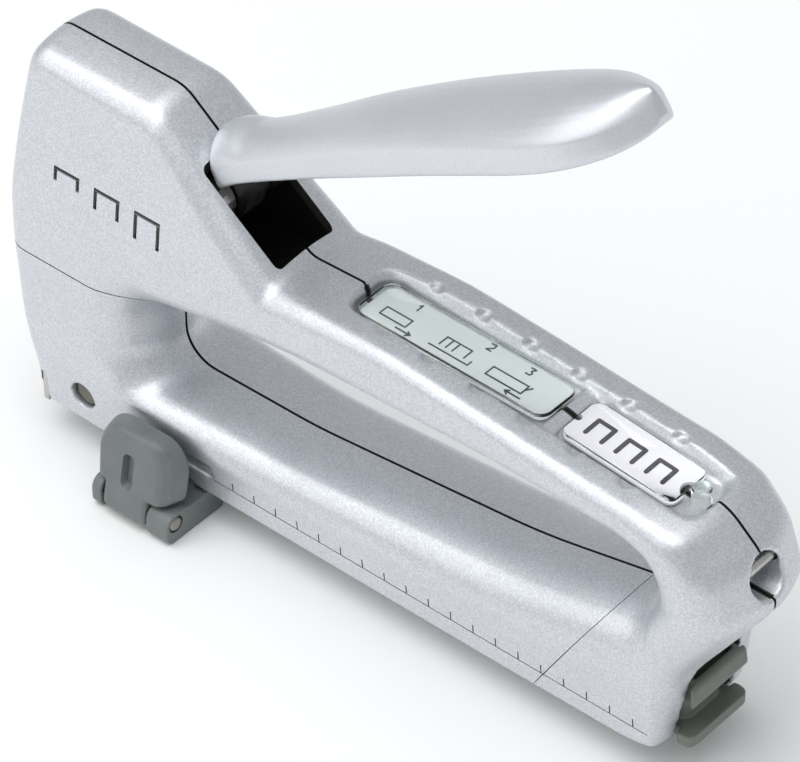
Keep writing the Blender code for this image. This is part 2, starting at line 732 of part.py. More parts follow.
def build_magazine():
    x0, x1 = CHANNEL_X
    w, t = CHANNEL_HALF, SHEET
    outline = ((-w, 0), (w, 0), (w, CHANNEL_TOP), (w - 1.4, CHANNEL_TOP),
               (w - 1.4, CHANNEL_TOP - t), (w - t, CHANNEL_TOP - t), (w - t, t),
               (-w + t, t), (-w + t, CHANNEL_TOP - t), (-w + 1.4, CHANNEL_TOP - t),
               (-w + 1.4, CHANNEL_TOP), (-w, CHANNEL_TOP))
    prism_x("magazine_channel", outline, x0, x1, "steel")
    staple = ((-5.4, 1.4), (-4.8, 1.4), (-4.8, 7.6), (4.8, 7.6), (4.8, 1.4), (5.4, 1.4),
              (5.4, 8.2), (-5.4, 8.2))
    prism_x("staple_strip", staple, *STRIP_X, "steel")
    pusher = box("pusher", (PUSHER_X[0], -4.3, 1.4), (PUSHER_X[1], 4.3, 9.2), "latch")
    bore = turned("pusher_bore", "X", (0.0, ROD_Z), ((50.0, 1.5), (90.0, 1.5)), count=12)
    boolean(pusher, "DIFFERENCE", bore)
    coil("pusher_spring", "X", (0.0, ROD_Z), PUSHER_X[1] + 0.3, 129.4, 2.3, 0.35, 16,
         "steel", 8)
    rod = turned("pusher_rod", "X", (0.0, ROD_Z), ((58.0, 0.8), (58.6, 1.1), (135.0, 1.1)),
                 "steel", (58.0, 0, ROD_Z), 10)
    return rod


def tab_outline(x0, neck, x1, inner, outer, r):
    """Plan of a tab: narrow inside the casing, wider and rounded outside it."""
    side = ((x0, inner, 0.4), (neck, inner, 0.4), (neck, outer, 0.6), (x1, outer, r))
    return rounded(tuple((x, -y, q) for x, y, q in side) + side[::-1], 2)


def build_rear():
    """The drawer's end, which carries the rod, and the latch above it."""
    block = rounded(((129.8, -5.4, 0.6), (136.4, -5.4, 2.5), (136.4, 5.4, 2.5),
                     (129.8, 5.4, 0.6)), 2)
    end = prism_z("drawer_end", block, 1.3, 8.2, "latch", (130.0, 0, 4.0))
    lip = prism_z("lip_form", tab_outline(132.4, 136.7, 140.0, 6.6, 8.0, 3.2), 0.7, 3.1)
    rod = turned("rod_seat", "X", (0.0, ROD_Z), ((128.0, 1.4), (135.3, 1.4)), count=10)
    boolean(end, "UNION", lip)
    boolean(end, "DIFFERENCE", rod)
    shape = rounded(((126.4, 10.9, 1.0), (134.2, 10.0, 1.5), (140.2, 9.2, 1.2),
                     (139.4, 13.6, 1.6), (133.8, 15.8, 1.6), (130.4, 18.4, 2.0),
                     (126.4, 16.0, 2.0)), 2)
    latch = prism_y("latch_tab", shape, -9.0, 9.0, "latch", (128.6, 0, 13.6))
    plan = tab_outline(126.0, 138.7, 140.4, 6.2, 7.3, 1.6)
    boolean(latch, "INTERSECT", prism_z("latch_plan", plan, 0.0, 30.0))
    bore = turned("latch_bore", "Y", (128.6, 13.6), ((-9, 1.5), (9, 1.5)), count=12)
    boolean(latch, "DIFFERENCE", bore)
    turned("latch_pin", "Y", (128.6, 13.6), ((-6.6, 1.2), (6.6, 1.2)), "steel",
           (128.6, 0, 13.6), 12)
    turned("lanyard_bar", "Y", BAR, ((-4.7, 1.1), (4.7, 1.1)), "steel",
           (BAR[0], 0, BAR[1]), 12)


# ---------------------------------------------------------------- labels and guide


def build_labels():
    floor = RECESS_FLOOR[0][1] + 0.3
    card = rounded_box(63.0, 103.8, -4.7, 4.7, 2.0, 2)
    prism_z("instruction_card", card, floor, floor + 0.4, "card")
    plan = rounded_box(62.5, 104.2, -5.0, 5.0, 2.4, 3)
    side = ((62.0, floor + 0.7), (105.0, floor + 0.7), (105.0, 52.9), (62.0, 53.9))
    window = prism_z("instruction_window", plan, 50.0, 56.0, "clear")
    boolean(window, "INTERSECT", prism_y("window_side", side, -6, 6))
    bevel(window, 0.5, 1)
    label_slab("name_card", 0.35, 0.4, "card")
    label_slab("name_window", 1.05, 0.6, "clear")
    knob = ((48.8, 1.8), (51.8, 1.8), (52.4, 1.2))
    turned("window_clip", "Z", (134.0, 0.0), knob, "clear", (134.0, 0, 48.8), 16)


def label_slab(name, above, thick, finish):
    """A sheet that lies this far above the sloping rear floor."""
    x0, x1 = LABEL_X
    z0 = RECESS_FLOOR[4][1] + above
    z1 = z0 + LABEL_SLOPE * (x1 - x0)
    side = ((x0 - 1, z0 - LABEL_SLOPE), (x1 + 1, z1 + LABEL_SLOPE),
            (x1 + 1, z1 + LABEL_SLOPE + thick), (x0 - 1, z0 - LABEL_SLOPE + thick))
    slab = prism_z(name, rounded_box(x0, x1, -5.1, 5.1, 1.0, 2), 45.0, 56.0, finish)
    return boolean(slab, "INTERSECT", prism_y(name + "_side", side, -6, 6))


def build_guide():
    y, z = GUIDE_PIN
    x0, x1 = GUIDE_X
    profile = rounded(((-22.9, -6.3, 2.0), (-22.9, 0.0, 2.0), (-18.0, 0.0, 1.2),
                       (-16.8, -0.4, 0.6), (-8.0, -0.4, 0.3), (-8.0, -6.3, 0.6)), 3)
    bracket = prism_x("guide_bracket", profile, x0, x1, "guide")
    tongue = box("bracket_tongue", (18.4, -12.7, -1.4), (31.2, -8.1, 1.0))
    bay = box("flap_bay", (18.5, -40.0, -20.0), (29.3, -17.2, 20.0))
    bore = turned("guide_bore", "X", GUIDE_PIN, ((0, 1.75), (50, 1.75)), count=14)
    boolean(bracket, "UNION", tongue)
    boolean(bracket, "DIFFERENCE", bay, bore)
    flap = loft("guide_flap", flap_rings(), "guide", (24.0, y, z))
    hole = turned("flap_bore", "X", GUIDE_PIN, ((0, 1.75), (50, 1.75)), count=14)
    dimple = rounded_box(23.2, 25.0, 0.4, 7.4, 0.89, 3)
    boolean(flap, "DIFFERENCE", hole, prism_y("flap_dimple", dimple, -30.0, -21.0))
    turned("guide_pin", "X", GUIDE_PIN, ((x0 - 0.1, 1.5), (x1 + 0.1, 1.5)), "steel",
           (25.0, y, z), 14)


def flap_outline(left, right, top, trim):
    """A rounded shield above the ears, and below it a tongue that fits between them."""
    low, foot = FLAP_LOW + trim, FLAP_FOOT + trim
    inner, outer = FLAP_TONGUE[0] + trim, FLAP_TONGUE[1] - trim
    corners = ((left, top, 8.0), (right, top, 7.5), (right, low, 5.0), (outer, low, 0.3),
               (outer, foot, 1.0), (inner, foot, 1.0), (inner, low, 0.3),
               (left + 1.2, low, 1.5))
    return rounded(corners, 3)


def flap_rings():
    """Rings from the flap's back to its smaller front, which leans in to the casing."""
    rings = []
    for depth, left, right, top, trim in FLAP_RINGS:
        rings.append([(x, -18.0 + 0.19 * (z + 2.2) - depth, z)
                      for x, z in flap_outline(left, right, top, trim)])
    return rings


def build_screws():
    for name, (x, z) in SCREWS.items():
        reach = half_width(z)
        profile = ((-reach + 4.0, 1.35), (reach - 3.0, 1.35), (reach - 3.0, 2.7),
                   (reach - 1.6, 2.5))
        turned(name, "Y", (x, z), profile, "steel", (x, reach - 3, z), 10)


build_casing()
build_nose()
build_striker()
build_lever()
build_magazine()
build_rear()
build_labels()
build_guide()
build_screws()
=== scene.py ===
"""Looks for the staple gun: cast silver shells, satin lever, clear label window, grey guide.

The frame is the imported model: +X from nose to heel, +Y to the gun's right, +Z up.
Lengths below are millimetres unless a name says otherwise; objects are built in metres.
"""

import json
import math

import bmesh
import bpy
import numpy as np
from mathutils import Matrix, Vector
from mathutils.bvhtree import BVHTree


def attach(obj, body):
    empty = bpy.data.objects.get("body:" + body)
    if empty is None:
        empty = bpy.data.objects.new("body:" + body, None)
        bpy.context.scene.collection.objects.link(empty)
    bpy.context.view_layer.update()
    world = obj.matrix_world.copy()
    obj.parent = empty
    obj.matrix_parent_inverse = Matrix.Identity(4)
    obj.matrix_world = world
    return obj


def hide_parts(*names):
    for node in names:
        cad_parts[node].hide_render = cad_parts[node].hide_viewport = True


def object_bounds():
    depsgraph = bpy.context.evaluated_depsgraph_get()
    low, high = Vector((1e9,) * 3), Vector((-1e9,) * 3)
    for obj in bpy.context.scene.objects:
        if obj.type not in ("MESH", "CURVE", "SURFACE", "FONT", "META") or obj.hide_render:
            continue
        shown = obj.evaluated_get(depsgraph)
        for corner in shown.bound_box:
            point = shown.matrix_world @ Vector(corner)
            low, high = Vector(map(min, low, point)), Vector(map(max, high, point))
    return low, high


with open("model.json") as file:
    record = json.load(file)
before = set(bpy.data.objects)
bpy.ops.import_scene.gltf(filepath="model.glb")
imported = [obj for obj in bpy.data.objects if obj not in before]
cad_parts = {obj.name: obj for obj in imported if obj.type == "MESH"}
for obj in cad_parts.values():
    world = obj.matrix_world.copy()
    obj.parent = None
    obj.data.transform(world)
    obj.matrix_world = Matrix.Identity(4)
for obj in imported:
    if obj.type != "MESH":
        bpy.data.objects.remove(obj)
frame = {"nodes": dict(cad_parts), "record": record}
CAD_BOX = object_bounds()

MM = 0.001
BODIES = frame["record"]["behaviour"]["bodies"]

# Casing, side view at the centre plane: corner x, corner z, corner radius.
OUTER = (
    (-5.8, 0.0, 1.2),
    (-10.8, 19.0, 45.0),
    (-13.2, 40.0, 80.0),
    (-8.2, 77.3, 3.5),
    (20.8, 77.3, 7.0),
    (49.2, 55.0, 4.0),
    (74.0, 56.0, 120.0),
    (128.0, 52.4, 60.0),
    (139.8, 50.6, 9.0),
    (146.9, 44.6, 9.0),
    (150.6, 34.8, 5.0),
    (139.6, 17.0, 22.0),
    (136.3, 0.0, 2.5),
)
INNER = (
    (19.2, 15.6, 6.5),
    (19.2, 31.8, 6.0),
    (36.5, 38.0, 30.0),
    (52.0, 41.0, 60.0),
    (98.0, 42.8, 150.0),
    (131.0, 43.0, 8.0),
    (132.0, 28.6, 6.5),
    (100.7, 21.4, 120.0),
    (50.0, 16.0, 100.0),
)
# Sections across the casing: place on OUTER, place on INNER (whole numbers are corners),
# then crown height and edge radius on the outside, and the same on the finger side.
SECTIONS = (
    (0.0, -0.16, 0.8, 1.6, 4.0, 4.0),
    (0.4, -0.08, 1.8, 3.0, 6.0, 4.5),
    (1.0, 0.0, 1.8, 3.5, 7.5, 5.0),
    (1.55, 0.6, 1.8, 4.0, 7.8, 5.0),
    (2.0, 0.9, 1.8, 4.0, 7.0, 5.0),
    (3.0, 1.1, 1.5, 3.0, 5.5, 5.0),
    (4.0, 1.6, 1.7, 3.0, 4.0, 4.0),
    (4.5, 1.9, 2.5, 3.2, 3.2, 3.5),
    (5.0, 2.7, 2.0, 3.5, 3.0, 3.2),
    (5.3, 3.0, 1.4, 2.8, 3.0, 3.2),
    (6.0, 3.5, 1.0, 2.2, 3.0, 3.2),
    (7.0, 4.85, 1.2, 2.4, 3.2, 3.5),
    (8.0, 5.0, 2.4, 4.0, 4.0, 4.0),
    (9.0, 5.3, 4.8, 5.5, 5.0, 4.0),
    (10.0, 5.75, 5.0, 5.5, 5.2, 4.0),
    (11.0, 5.95, 4.6, 4.6, 5.2, 4.0),
    (11.5, 6.04, 3.8, 3.6, 5.2, 4.0),
    (11.96, 6.1, 2.4, 2.6, 5.0, 4.0),
    (12.04, 6.16, 0.3, 1.4, 4.8, 4.0),
    (12.25, 7.0, 0.0, 1.2, 4.2, 4.0),
    (12.61, 8.0, 0.0, 1.2, 2.8, 4.0),
    (12.9, 8.7, 0.0, 1.2, 3.2, 4.0),
    (13.0, 8.84, 0.8, 1.6, 4.0, 4.0),
)
WALL = 2.2

# Where the casing divides: level line in the head, slanting line in the heel.
SPLIT_Z = 34.5
SPLIT_REAR = (127.0, 30.2)
SPLIT_FOOT = (106.35, -5.0)
SPLIT_GAP = 0.25
SEAM = 0.27

# Grain of the edge rounding on the cast and on the moulded pieces.
CAST_VOXEL = 0.42
MOULD_VOXEL = 0.2

# Lever.
PIVOT = (30.0, 60.0)
LEVER_START = (35.0, 66.6)
LEVER_RISE = 33.2
LEVER_SLOT = (30.6, 48.0, 7.3)

# Label recess in the grip: a long pocket whose floor falls towards the heel.
RECESS_X = (60.4, 137.6)
RECESS_HALF = 7.0
RIM_Z = 56.3
RIM_SLOPE = -0.067
# Height from the rim, and how far the wall stands in from it: it leans outwards on top.
RECESS_WALL = ((-8.0, 1.5), (-2.2, 1.4), (0.0, 0.0), (4.0, -1.2))
RECESS_FLOOR = ((58.0, 51.2), (104.4, 51.2), (104.5, 52.5), (107.2, 51.9), (107.3, 51.1),
                (138.5, 48.2))
FLOOR_THICK = 2.4
SCALLOPS_X = (71.0, 81.3, 91.7, 102.2, 112.8, 123.9)
CARD_X = (63.0, 103.8)
CARD_HALF = 4.7
CARD_Z = RECESS_FLOOR[0][1] + 0.3
CARD_THICK = 0.4
PLATE_X = (62.5, 104.2)
PLATE_HALF = 5.0
LABEL_X = (107.8, 131.6)
LABEL_HALF = 5.1
LABEL_SLOPE = -0.093
HOOK_X = 134.0
INK_WIDTH = 0.3

# Ruler on the near side: a line with marks that stand on it.
RULER_X = (36.65, 131.65)
RULER_STEP = 5.0
RULER_Z = (5.0, 7.0)

# Three plain staple figures on the head's near side.
FIGURES_AT = (0.8, 57.0)
FIGURE_WIDTH = 6.0
FIGURE_STROKE = 0.8

NOSE_PIN = (5.8, 6.7)
LATCH_PIVOT = (128.6, 13.6)

# Wire bar across the hollow in the heel.
BAR = (145.5, 41.4)
BAR_OVAL = (-3.9, 3.9, 36.4, 44.4)

# Below this depth under the skin the faces get painted shade: a near-black material stands in
# for the dark of hollows, openings and seams, and the ruler and figure cuts take it from a
# shallower depth as their dark fill.
SHADE_DEPTH = 0.55
MARK_DEPTH = 0.16

# Side guide.
GUIDE_X = (16.3, 34.4)
GUIDE_PIN = (-20.5, -2.2)
FLAP_TONGUE = (18.8, 29.0)
FLAP_LOW = 0.5
FLAP_FOOT = -4.6
# Depth from the back, then left edge, right edge, top and trim of the flap's outline.
FLAP_RINGS = (
    (0.0, 15.4, 34.0, 11.9, 0.4),
    (0.5, 15.0, 34.4, 12.3, 0.0),
    (3.4, 15.8, 33.0, 12.7, 0.0),
    (4.5, 16.3, 31.8, 12.6, 0.2),
    (4.9, 16.9, 30.8, 12.0, 0.8),
)
SCREWS = {"screw_nose": (6.6, 28.0), "screw_grip_front": (55.0, 48.2),
          "screw_grip_rear": (138.2, 40.4), "screw_heel": (122.0, 15.4),
          "screw_beam": (103.0, 14.6)}


# ---------------------------------------------------------------- meshes


def add_object(name, points, faces):
    """A mesh object from points in millimetres, with its faces turned outwards."""
    mesh = bpy.data.meshes.new(name)
    mesh.from_pydata((np.array(points, dtype=float) * MM).tolist(), [], faces)
    bm = bmesh.new()
    bm.from_mesh(mesh)
    bmesh.ops.recalc_face_normals(bm, faces=bm.faces)
    if bm.calc_volume(signed=True) < 0:
        bmesh.ops.reverse_faces(bm, faces=bm.faces)
    bmesh.ops.triangulate(bm, faces=[f for f in bm.faces if len(f.verts) > 4])
    bm.to_mesh(mesh)
    bm.free()
    obj = bpy.data.objects.new(name, mesh)
    bpy.context.scene.collection.objects.link(obj)
    return obj


def bake(obj):
    """Replaces an object's mesh with its evaluated one, and drops its modifiers."""
    bpy.context.view_layer.update()
    graph = bpy.context.evaluated_depsgraph_get()
    mesh = bpy.data.meshes.new_from_object(obj.evaluated_get(graph))
    obj.modifiers.clear()
    obj.data = mesh
    return obj


def boolean(obj, operation, *tools):
    """Joins or cuts an object with tools, which are then removed."""
    for tool in tools:
        modifier = obj.modifiers.new(tool.name, "BOOLEAN")
        modifier.operation = operation
        modifier.solver = "MANIFOLD"
        modifier.object = tool
    bake(obj)
    for tool in tools:
        bpy.data.objects.remove(tool)
    return obj


def soften(obj, voxel, passes):
    """Rounds every edge a little, as a casting or moulding has them."""
    remesh = obj.modifiers.new("voxels", "REMESH")
    remesh.mode = "VOXEL"
    remesh.voxel_size = voxel * MM
    smooth = obj.modifiers.new("smooth", "SMOOTH")
    smooth.factor = 0.5
    smooth.iterations = passes
    return bake(obj)


def smooth_shading(obj, angle=40.0):
    obj.data.shade_smooth()
    obj.data.set_sharp_from_angle(angle=math.radians(angle))
    return obj


def bevel(obj, width, segments=3, angle=35.0):
    modifier = obj.modifiers.new("edges", "BEVEL")
    modifier.width = width * MM
    modifier.segments = segments
    modifier.limit_method = "ANGLE"
    modifier.angle_limit = math.radians(angle)
    modifier.harden_normals = False
    return bake(obj)


def copy_of(obj, name):
    twin = bpy.data.objects.new(name, obj.data.copy())
    bpy.context.scene.collection.objects.link(twin)
    return twin


# ---------------------------------------------------------------- basic shapes


def box(name, low, high):
    corners = [(x, y, z) for x in (low[0], high[0]) for y in (low[1], high[1])
               for z in (low[2], high[2])]
    faces = [(0, 1, 3, 2), (4, 6, 7, 5), (0, 4, 5, 1), (2, 3, 7, 6), (0, 2, 6, 4),
             (1, 5, 7, 3)]
    return add_object(name, corners, faces)


def loft(name, rings, closed=False):
    """Joins equal rings of points into one skin, with flat ends unless it is closed."""
    rings = [np.array(ring, dtype=float) for ring in rings]
    size = len(rings[0])
    count = len(rings)
    faces = []
    for i in range(count if closed else count - 1):
        a = i * size
        b = ((i + 1) % count) * size
        for j in range(size):
            k = (j + 1) % size
            faces.append((a + j, a + k, b + k, b + j))
    if not closed:
        faces.append(tuple(range(size))[::-1])
        faces.append(tuple((count - 1) * size + j for j in range(size)))
    return add_object(name, np.concatenate(rings), faces)


def prism(name, axis, outline, low, high):
    """An outline carried along an axis; its points are the other two coordinates."""
    place = {"X": lambda a, b, d: (d, a, b), "Y": lambda a, b, d: (a, d, b),
             "Z": lambda a, b, d: (a, b, d)}[axis]
    return loft(name, [[place(a, b, d) for a, b in outline] for d in (low, high)])


def circle(cx, cy, r, count=48):
    angles = [2 * math.pi * i / count for i in range(count)]
    return [(cx + r * math.cos(a), cy + r * math.sin(a)) for a in angles]


def turned(name, axis, centre, profile, count=48):
    """A shape turned about an axis: profile is (distance along the axis, radius)."""
    place = {"X": lambda a, b, d: (d, a, b), "Y": lambda a, b, d: (a, d, b),
             "Z": lambda a, b, d: (a, b, d)}[axis]
    rings = [[place(a, b, along) for a, b in circle(*centre, radius, count)]
             for along, radius in profile]
    return loft(name, rings)


def round_corner(before, corner, after, radius, steps):
    """Points of the arc that replaces a corner."""
    before, corner, after = (np.array(p, dtype=float) for p in (before, corner, after))
    u = (before - corner) / np.linalg.norm(before - corner)
    v = (after - corner) / np.linalg.norm(after - corner)
    half = math.acos(np.clip(np.dot(u, v), -1, 1)) / 2
    reach = min(radius / math.tan(half), 0.48 * np.linalg.norm(before - corner),
                0.48 * np.linalg.norm(after - corner))
    radius = reach * math.tan(half)
    middle = (u + v) / np.linalg.norm(u + v)
    centre = corner + middle * radius / math.sin(half)
    start = corner + u * reach - centre
    end = corner + v * reach - centre
    turn = math.atan2(start[0] * end[1] - start[1] * end[0], np.dot(start, end))
    points = []
    for i in range(steps + 1):
        a = turn * i / steps
        c, s = math.cos(a), math.sin(a)
        points.append(centre + (c * start[0] - s * start[1], s * start[0] + c * start[1]))
    return points


def rounded(corners, steps=8):
    """Closed outline with its corners rounded: corners are (x, z, radius)."""
    points = []
    count = len(corners)
    for i in range(count):
        before, corner, after = (corners[(i + k) % count] for k in (-1, 0, 1))
        points += round_corner(before[:2], corner[:2], after[:2], corner[2], steps)
    return points


def rounded_box(x0, x1, z0, z1, r, steps=8):
    return rounded(((x0, z0, r), (x1, z0, r), (x1, z1, r), (x0, z1, r)), steps)


# ---------------------------------------------------------------- casing form


def half_width(z):
    """Half the casing's width at a height: it narrows to the head and to the base."""
    if z < 13.0:
        return 12.9 + 1.1 * max(z, 0.0) / 13.0
    if z < 44.0:
        return 14.0 - 0.3 * (z - 13.0) / 31.0
    return 13.7 - 4.1 * ((z - 44.0) / 31.0) ** 1.5


class Loop:
    """A rounded outline that can be read by corner number, with fractions between."""

    def __init__(self, corners, steps, longest):
        self.count = len(corners)
        arc = rounded(corners, steps)
        self.points = []
        marks = []
        for i in range(self.count):
            piece = arc[i * (steps + 1):(i + 1) * (steps + 1)]
            following = arc[((i + 1) * (steps + 1)) % len(arc)]
            marks.append(len(self.points) + steps / 2)
            self.points += piece
            gap = np.linalg.norm(following - piece[-1])
            parts = max(1, math.ceil(gap / longest))
            for k in range(1, parts):
                self.points.append(piece[-1] + (following - piece[-1]) * k / parts)
        closed = np.array(self.points + [self.points[0]])
        lengths = np.linalg.norm(np.diff(closed, axis=0), axis=1)
        self.along = np.concatenate([[0.0], np.cumsum(lengths)])
        self.total = self.along[-1]
        self.closed = closed
        at = np.interp(marks, np.arange(len(self.along)), self.along)
        self.marks = np.concatenate([at, [at[0] + self.total]])

    def number_at(self, distance):
        turned_back = distance < self.marks[0]
        distance = distance + self.total if turned_back else distance
        return float(np.interp(distance, self.marks, np.arange(self.count + 1)))

    def at(self, number):
        number = number % self.count
        distance = np.interp(number, np.arange(self.count + 1), self.marks) % self.total
        return np.array([np.interp(distance, self.along, self.closed[:, k])
                         for k in (0, 1)])


def section(start, end, inset, crown_out, round_out, crown_in, round_in, arc, side):
    """Half of a cross-section, from the outer seam over the side to the inner seam."""
    length = np.linalg.norm(end - start)
    step = (end - start) / length

    def place(distance, y):
        x, z = start + step * distance
        return np.array([x, y, z])

    def width_at(distance):
        return half_width((start + step * distance)[1]) - inset

    near, far = inset, length - inset
    squeeze = min(1.0, 0.5 * (far - near) / (crown_out + crown_in))
    crown_out, crown_in = crown_out * squeeze, crown_in * squeeze
    s_out, s_in = near + crown_out, far - crown_in
    round_out, round_in = (min(r, 0.42 * (s_in - s_out)) for r in (round_out, round_in))
    points = []
    for t in np.linspace(0, 1, arc + 1):
        y = t * (width_at(s_out) - round_out)
        points.append(place(near + crown_out * (y / width_at(s_out)) ** 2, y))
    points += corner_points(place, width_at, s_out, crown_out, near, round_out, arc, 1)
    low, high = s_out + round_out, s_in - round_in
    for t in np.linspace(0, 1, side + 2)[1:-1]:
        distance = low + (high - low) * t
        points.append(place(distance, width_at(distance)))
    points += corner_points(place, width_at, s_in, crown_in, far, round_in, arc, -1)
    for t in np.linspace(1, 0, arc + 1):
        y = t * (width_at(s_in) - round_in)
        points.append(place(far - crown_in * (y / width_at(s_in)) ** 2, y))
    return points


def corner_points(place, width_at, corner, crown, flat, radius, arc, sign):
    """The rounded edge where a crowned face meets the side."""
    width = width_at(corner)
    y0 = width - radius
    a = place(flat + sign * crown * (y0 / width) ** 2, y0)
    b = place(corner, width)
    c = place(corner + sign * radius, width_at(corner + sign * radius))
    points = []
    for i in range(1, arc + 1):
        t = i / arc
        weight = 0.707
        w = (1 - t) ** 2 + 2 * weight * t * (1 - t) + t ** 2
        points.append(((1 - t) ** 2 * a + 2 * weight * t * (1 - t) * b + t ** 2 * c) / w)
    return points if sign > 0 else points[::-1]


def casing(name, inset, steps, longest, arc, side):
    """The casing's solid form round the finger opening, made smaller by inset."""
    outer = Loop(OUTER, steps, longest)
    inner = Loop(INNER, steps, longest)
    table = np.array(SECTIONS)
    rings = []
    for distance, point in zip(outer.along, outer.points):
        number = outer.number_at(distance)
        row = [np.interp(number, table[:, 0], table[:, k]) for k in range(1, 6)]
        end = inner.at(row[0])
        rounds = [max(0.6, row[2] - 0.6 * inset), max(0.6, row[4] - 0.6 * inset)]
        half = section(point, end, inset, row[1], rounds[0], row[3], rounds[1], arc, side)
        mirrored = [p * (1, -1, 1) for p in half[1:-1]][::-1]
        rings.append(half + mirrored)
    return loft(name, rings, closed=True)


# ---------------------------------------------------------------- casing pieces


def casing_cavity():
    """The hollow inside, with screw bosses, pin sockets and the walls left standing."""
    cavity = casing("cavity", WALL, 3, 10.0, 3, 1)
    keep = [turned("boss_" + name, "Y", at, ((-16, 3.6), (16, 3.6)))
            for name, at in SCREWS.items()]
    for side in (-1, 1):
        low, high = sorted((side * 7.4, side * 16.0))
        keep.append(turned(f"pin_socket_{side}", "Y", PIVOT, ((low, 5.0), (high, 5.0))))
    slab = [(x, z - FLOOR_THICK) for x, z in (RECESS_FLOOR[0], RECESS_FLOOR[3], (142, 46.7))]
    keep.append(prism("label_floor", "Y", slab + [(142, 70), (58, 70)], -9.5, 9.5))
    keep.append(box("rear_wall", (141.0, -12.0, 33.0), (160.0, 12.0, 60.0)))
    return boolean(cavity, "DIFFERENCE", *keep)


def casing_openings():
    """Tools that open the casing: magazine, nose, rear arch, recesses and screw holes."""
    tools = [box("channel_slot", (-3.3, -7.2, -2.0), (150.0, 7.2, 3.0))]
    tools.append(box("nose_slot", (-5.0, -15.0, -2.0), (-3.1, 15.0, 6.8)))
    tools.append(box("nose_tongue", (-5.0, -7.5, 4.0), (-3.1, 7.5, 27.0)))
    flank = [(8.4, -2.0), (7.3, 7.0), (6.9, 14.0), (6.2, 20.0), (4.2, 26.5), (1.9, 31.2)]
    arch = [(-y, z) for y, z in flank] + [(0.0, 34.0)] + flank[::-1]
    tools.append(boolean(prism("rear_arch", "X", arch, 128.0, 160.0), "DIFFERENCE",
                         box("opening_wall", (120.0, -20.0, 24.0), (134.6, 20.0, 50.0))))
    tools.append(label_recess())
    oval = rounded_box(*BAR_OVAL, 3.8)
    tools.append(prism("bar_recess", "X", oval, 143.4, 160.0))
    tools.append(turned("bar_hole", "Y", BAR, ((-5.0, 1.35), (5.0, 1.35))))
    tools.append(turned("pin_hole", "Y", PIVOT, ((-10.6, 2.8), (10.6, 2.8))))
    for name, (x, z) in SCREWS.items():
        reach = half_width(z)
        profile = ((-reach + 3.6, 1.7), (reach - 3.4, 1.7), (reach - 3.4, 3.0),
                   (reach + 3.0, 3.0))
        tools.append(turned("hole_" + name, "Y", (x, z), profile))
    return tools


def lever_slot():
    """The crisp opening that the lever's arm passes through."""
    x0, x1, half = LEVER_SLOT
    return prism("lever_slot", "Z", rounded_box(x0, x1, -half, half, 1.2), 45.0, 90.0)


def label_recess():
    """The label pocket: its rim falls towards the heel, and a low bridge crosses it."""
    rings = []
    for height, inset in RECESS_WALL:
        half = RECESS_HALF - inset
        plan = rounded_box(RECESS_X[0] + inset, RECESS_X[1] - inset, -half, half, 3.0)
        rings.append([(x, y, RIM_Z + RIM_SLOPE * (x - RECESS_X[0]) + height)
                      for x, y in plan])
    pocket = loft("label_recess", rings)
    above = prism("above_floor", "Y", RECESS_FLOOR + ((138.5, 62), (58, 62)), -12, 12)
    return boolean(pocket, "INTERSECT", above)


def scallops(side):
    """Small half-round notches along one edge of the label recess."""
    tools = []
    for i, x in enumerate(SCALLOPS_X):
        rim = RIM_Z + RIM_SLOPE * (x - RECESS_X[0])
        tools.append(turned(f"scallop_{side}_{i}", "Z", (x, side * RECESS_HALF),
                            ((rim - 0.8, 1.35), (rim + 6.0, 1.35)), 24))
    return tools


def engraving():
    """The ruler's line and marks, cut in the near side."""
    tools = [box("ruler_line", (RULER_X[0], -20.0, RULER_Z[0] - 0.12),
                 (RULER_X[1] + 3.0, 0.22 - half_width(RULER_Z[0]), RULER_Z[0] + 0.12))]
    count = round((RULER_X[1] - RULER_X[0]) / RULER_STEP) + 1
    for i in range(count):
        x = RULER_X[0] + i * RULER_STEP
        tools.append(box(f"ruler_mark_{i}", (x - 0.14, -20.0, RULER_Z[0]),
                         (x + 0.14, 0.28 - half_width(RULER_Z[0]), RULER_Z[1])))
    return tools


def staple_figures():
    """Three staples with growing legs, as thin upright bars cut in the head's near side."""
    tools = []
    x0, top = FIGURES_AT
    for i, legs in enumerate((3.0, 4.4, 5.8)):
        x = x0 + 9.4 * i
        bars = (((x, top - legs), (x + FIGURE_STROKE, top)),
                ((x + FIGURE_WIDTH - FIGURE_STROKE, top - legs), (x + FIGURE_WIDTH, top)),
                ((x, top - FIGURE_STROKE), (x + FIGURE_WIDTH, top)))
        for k, (low, high) in enumerate(bars):
            skin = half_width((low[1] + high[1]) / 2)
            tools.append(box(f"figure_{i}_{k}", (low[0], -20.0, low[1]),
                             (high[0], 0.3 - skin, high[1])))
    return tools


def side_tools():
    """Openings in the near side only: the nose hole and the guide's notch."""
    pin = turned("nose_hole", "Y", NOSE_PIN, ((-16.0, 2.7), (-10.0, 2.7)))
    notch = box("guide_notch", (17.0, -17.0, 4.9), (36.6, -11.4, 7.6))
    groove = box("guide_groove", (18.0, -17.0, -2.0), (31.6, -7.7, 1.3))
    return [pin, notch, groove]


def level_region(level):
    """The part of space that the upper or the lower shells lie in."""
    g = SPLIT_GAP
    if level == "lower":
        outline = ((-40, SPLIT_Z - g), (40, SPLIT_Z - g),
                   (SPLIT_REAR[0] - g, SPLIT_REAR[1] - g),
                   (SPLIT_FOOT[0] - g, SPLIT_FOOT[1]), (-40, SPLIT_FOOT[1]))
    else:
        outline = ((-40, SPLIT_Z), (40, SPLIT_Z), SPLIT_REAR, SPLIT_FOOT,
                   (190, SPLIT_FOOT[1]), (190, 120), (-40, 120))
    return prism("region_" + level, "Y", outline, -30, 30)


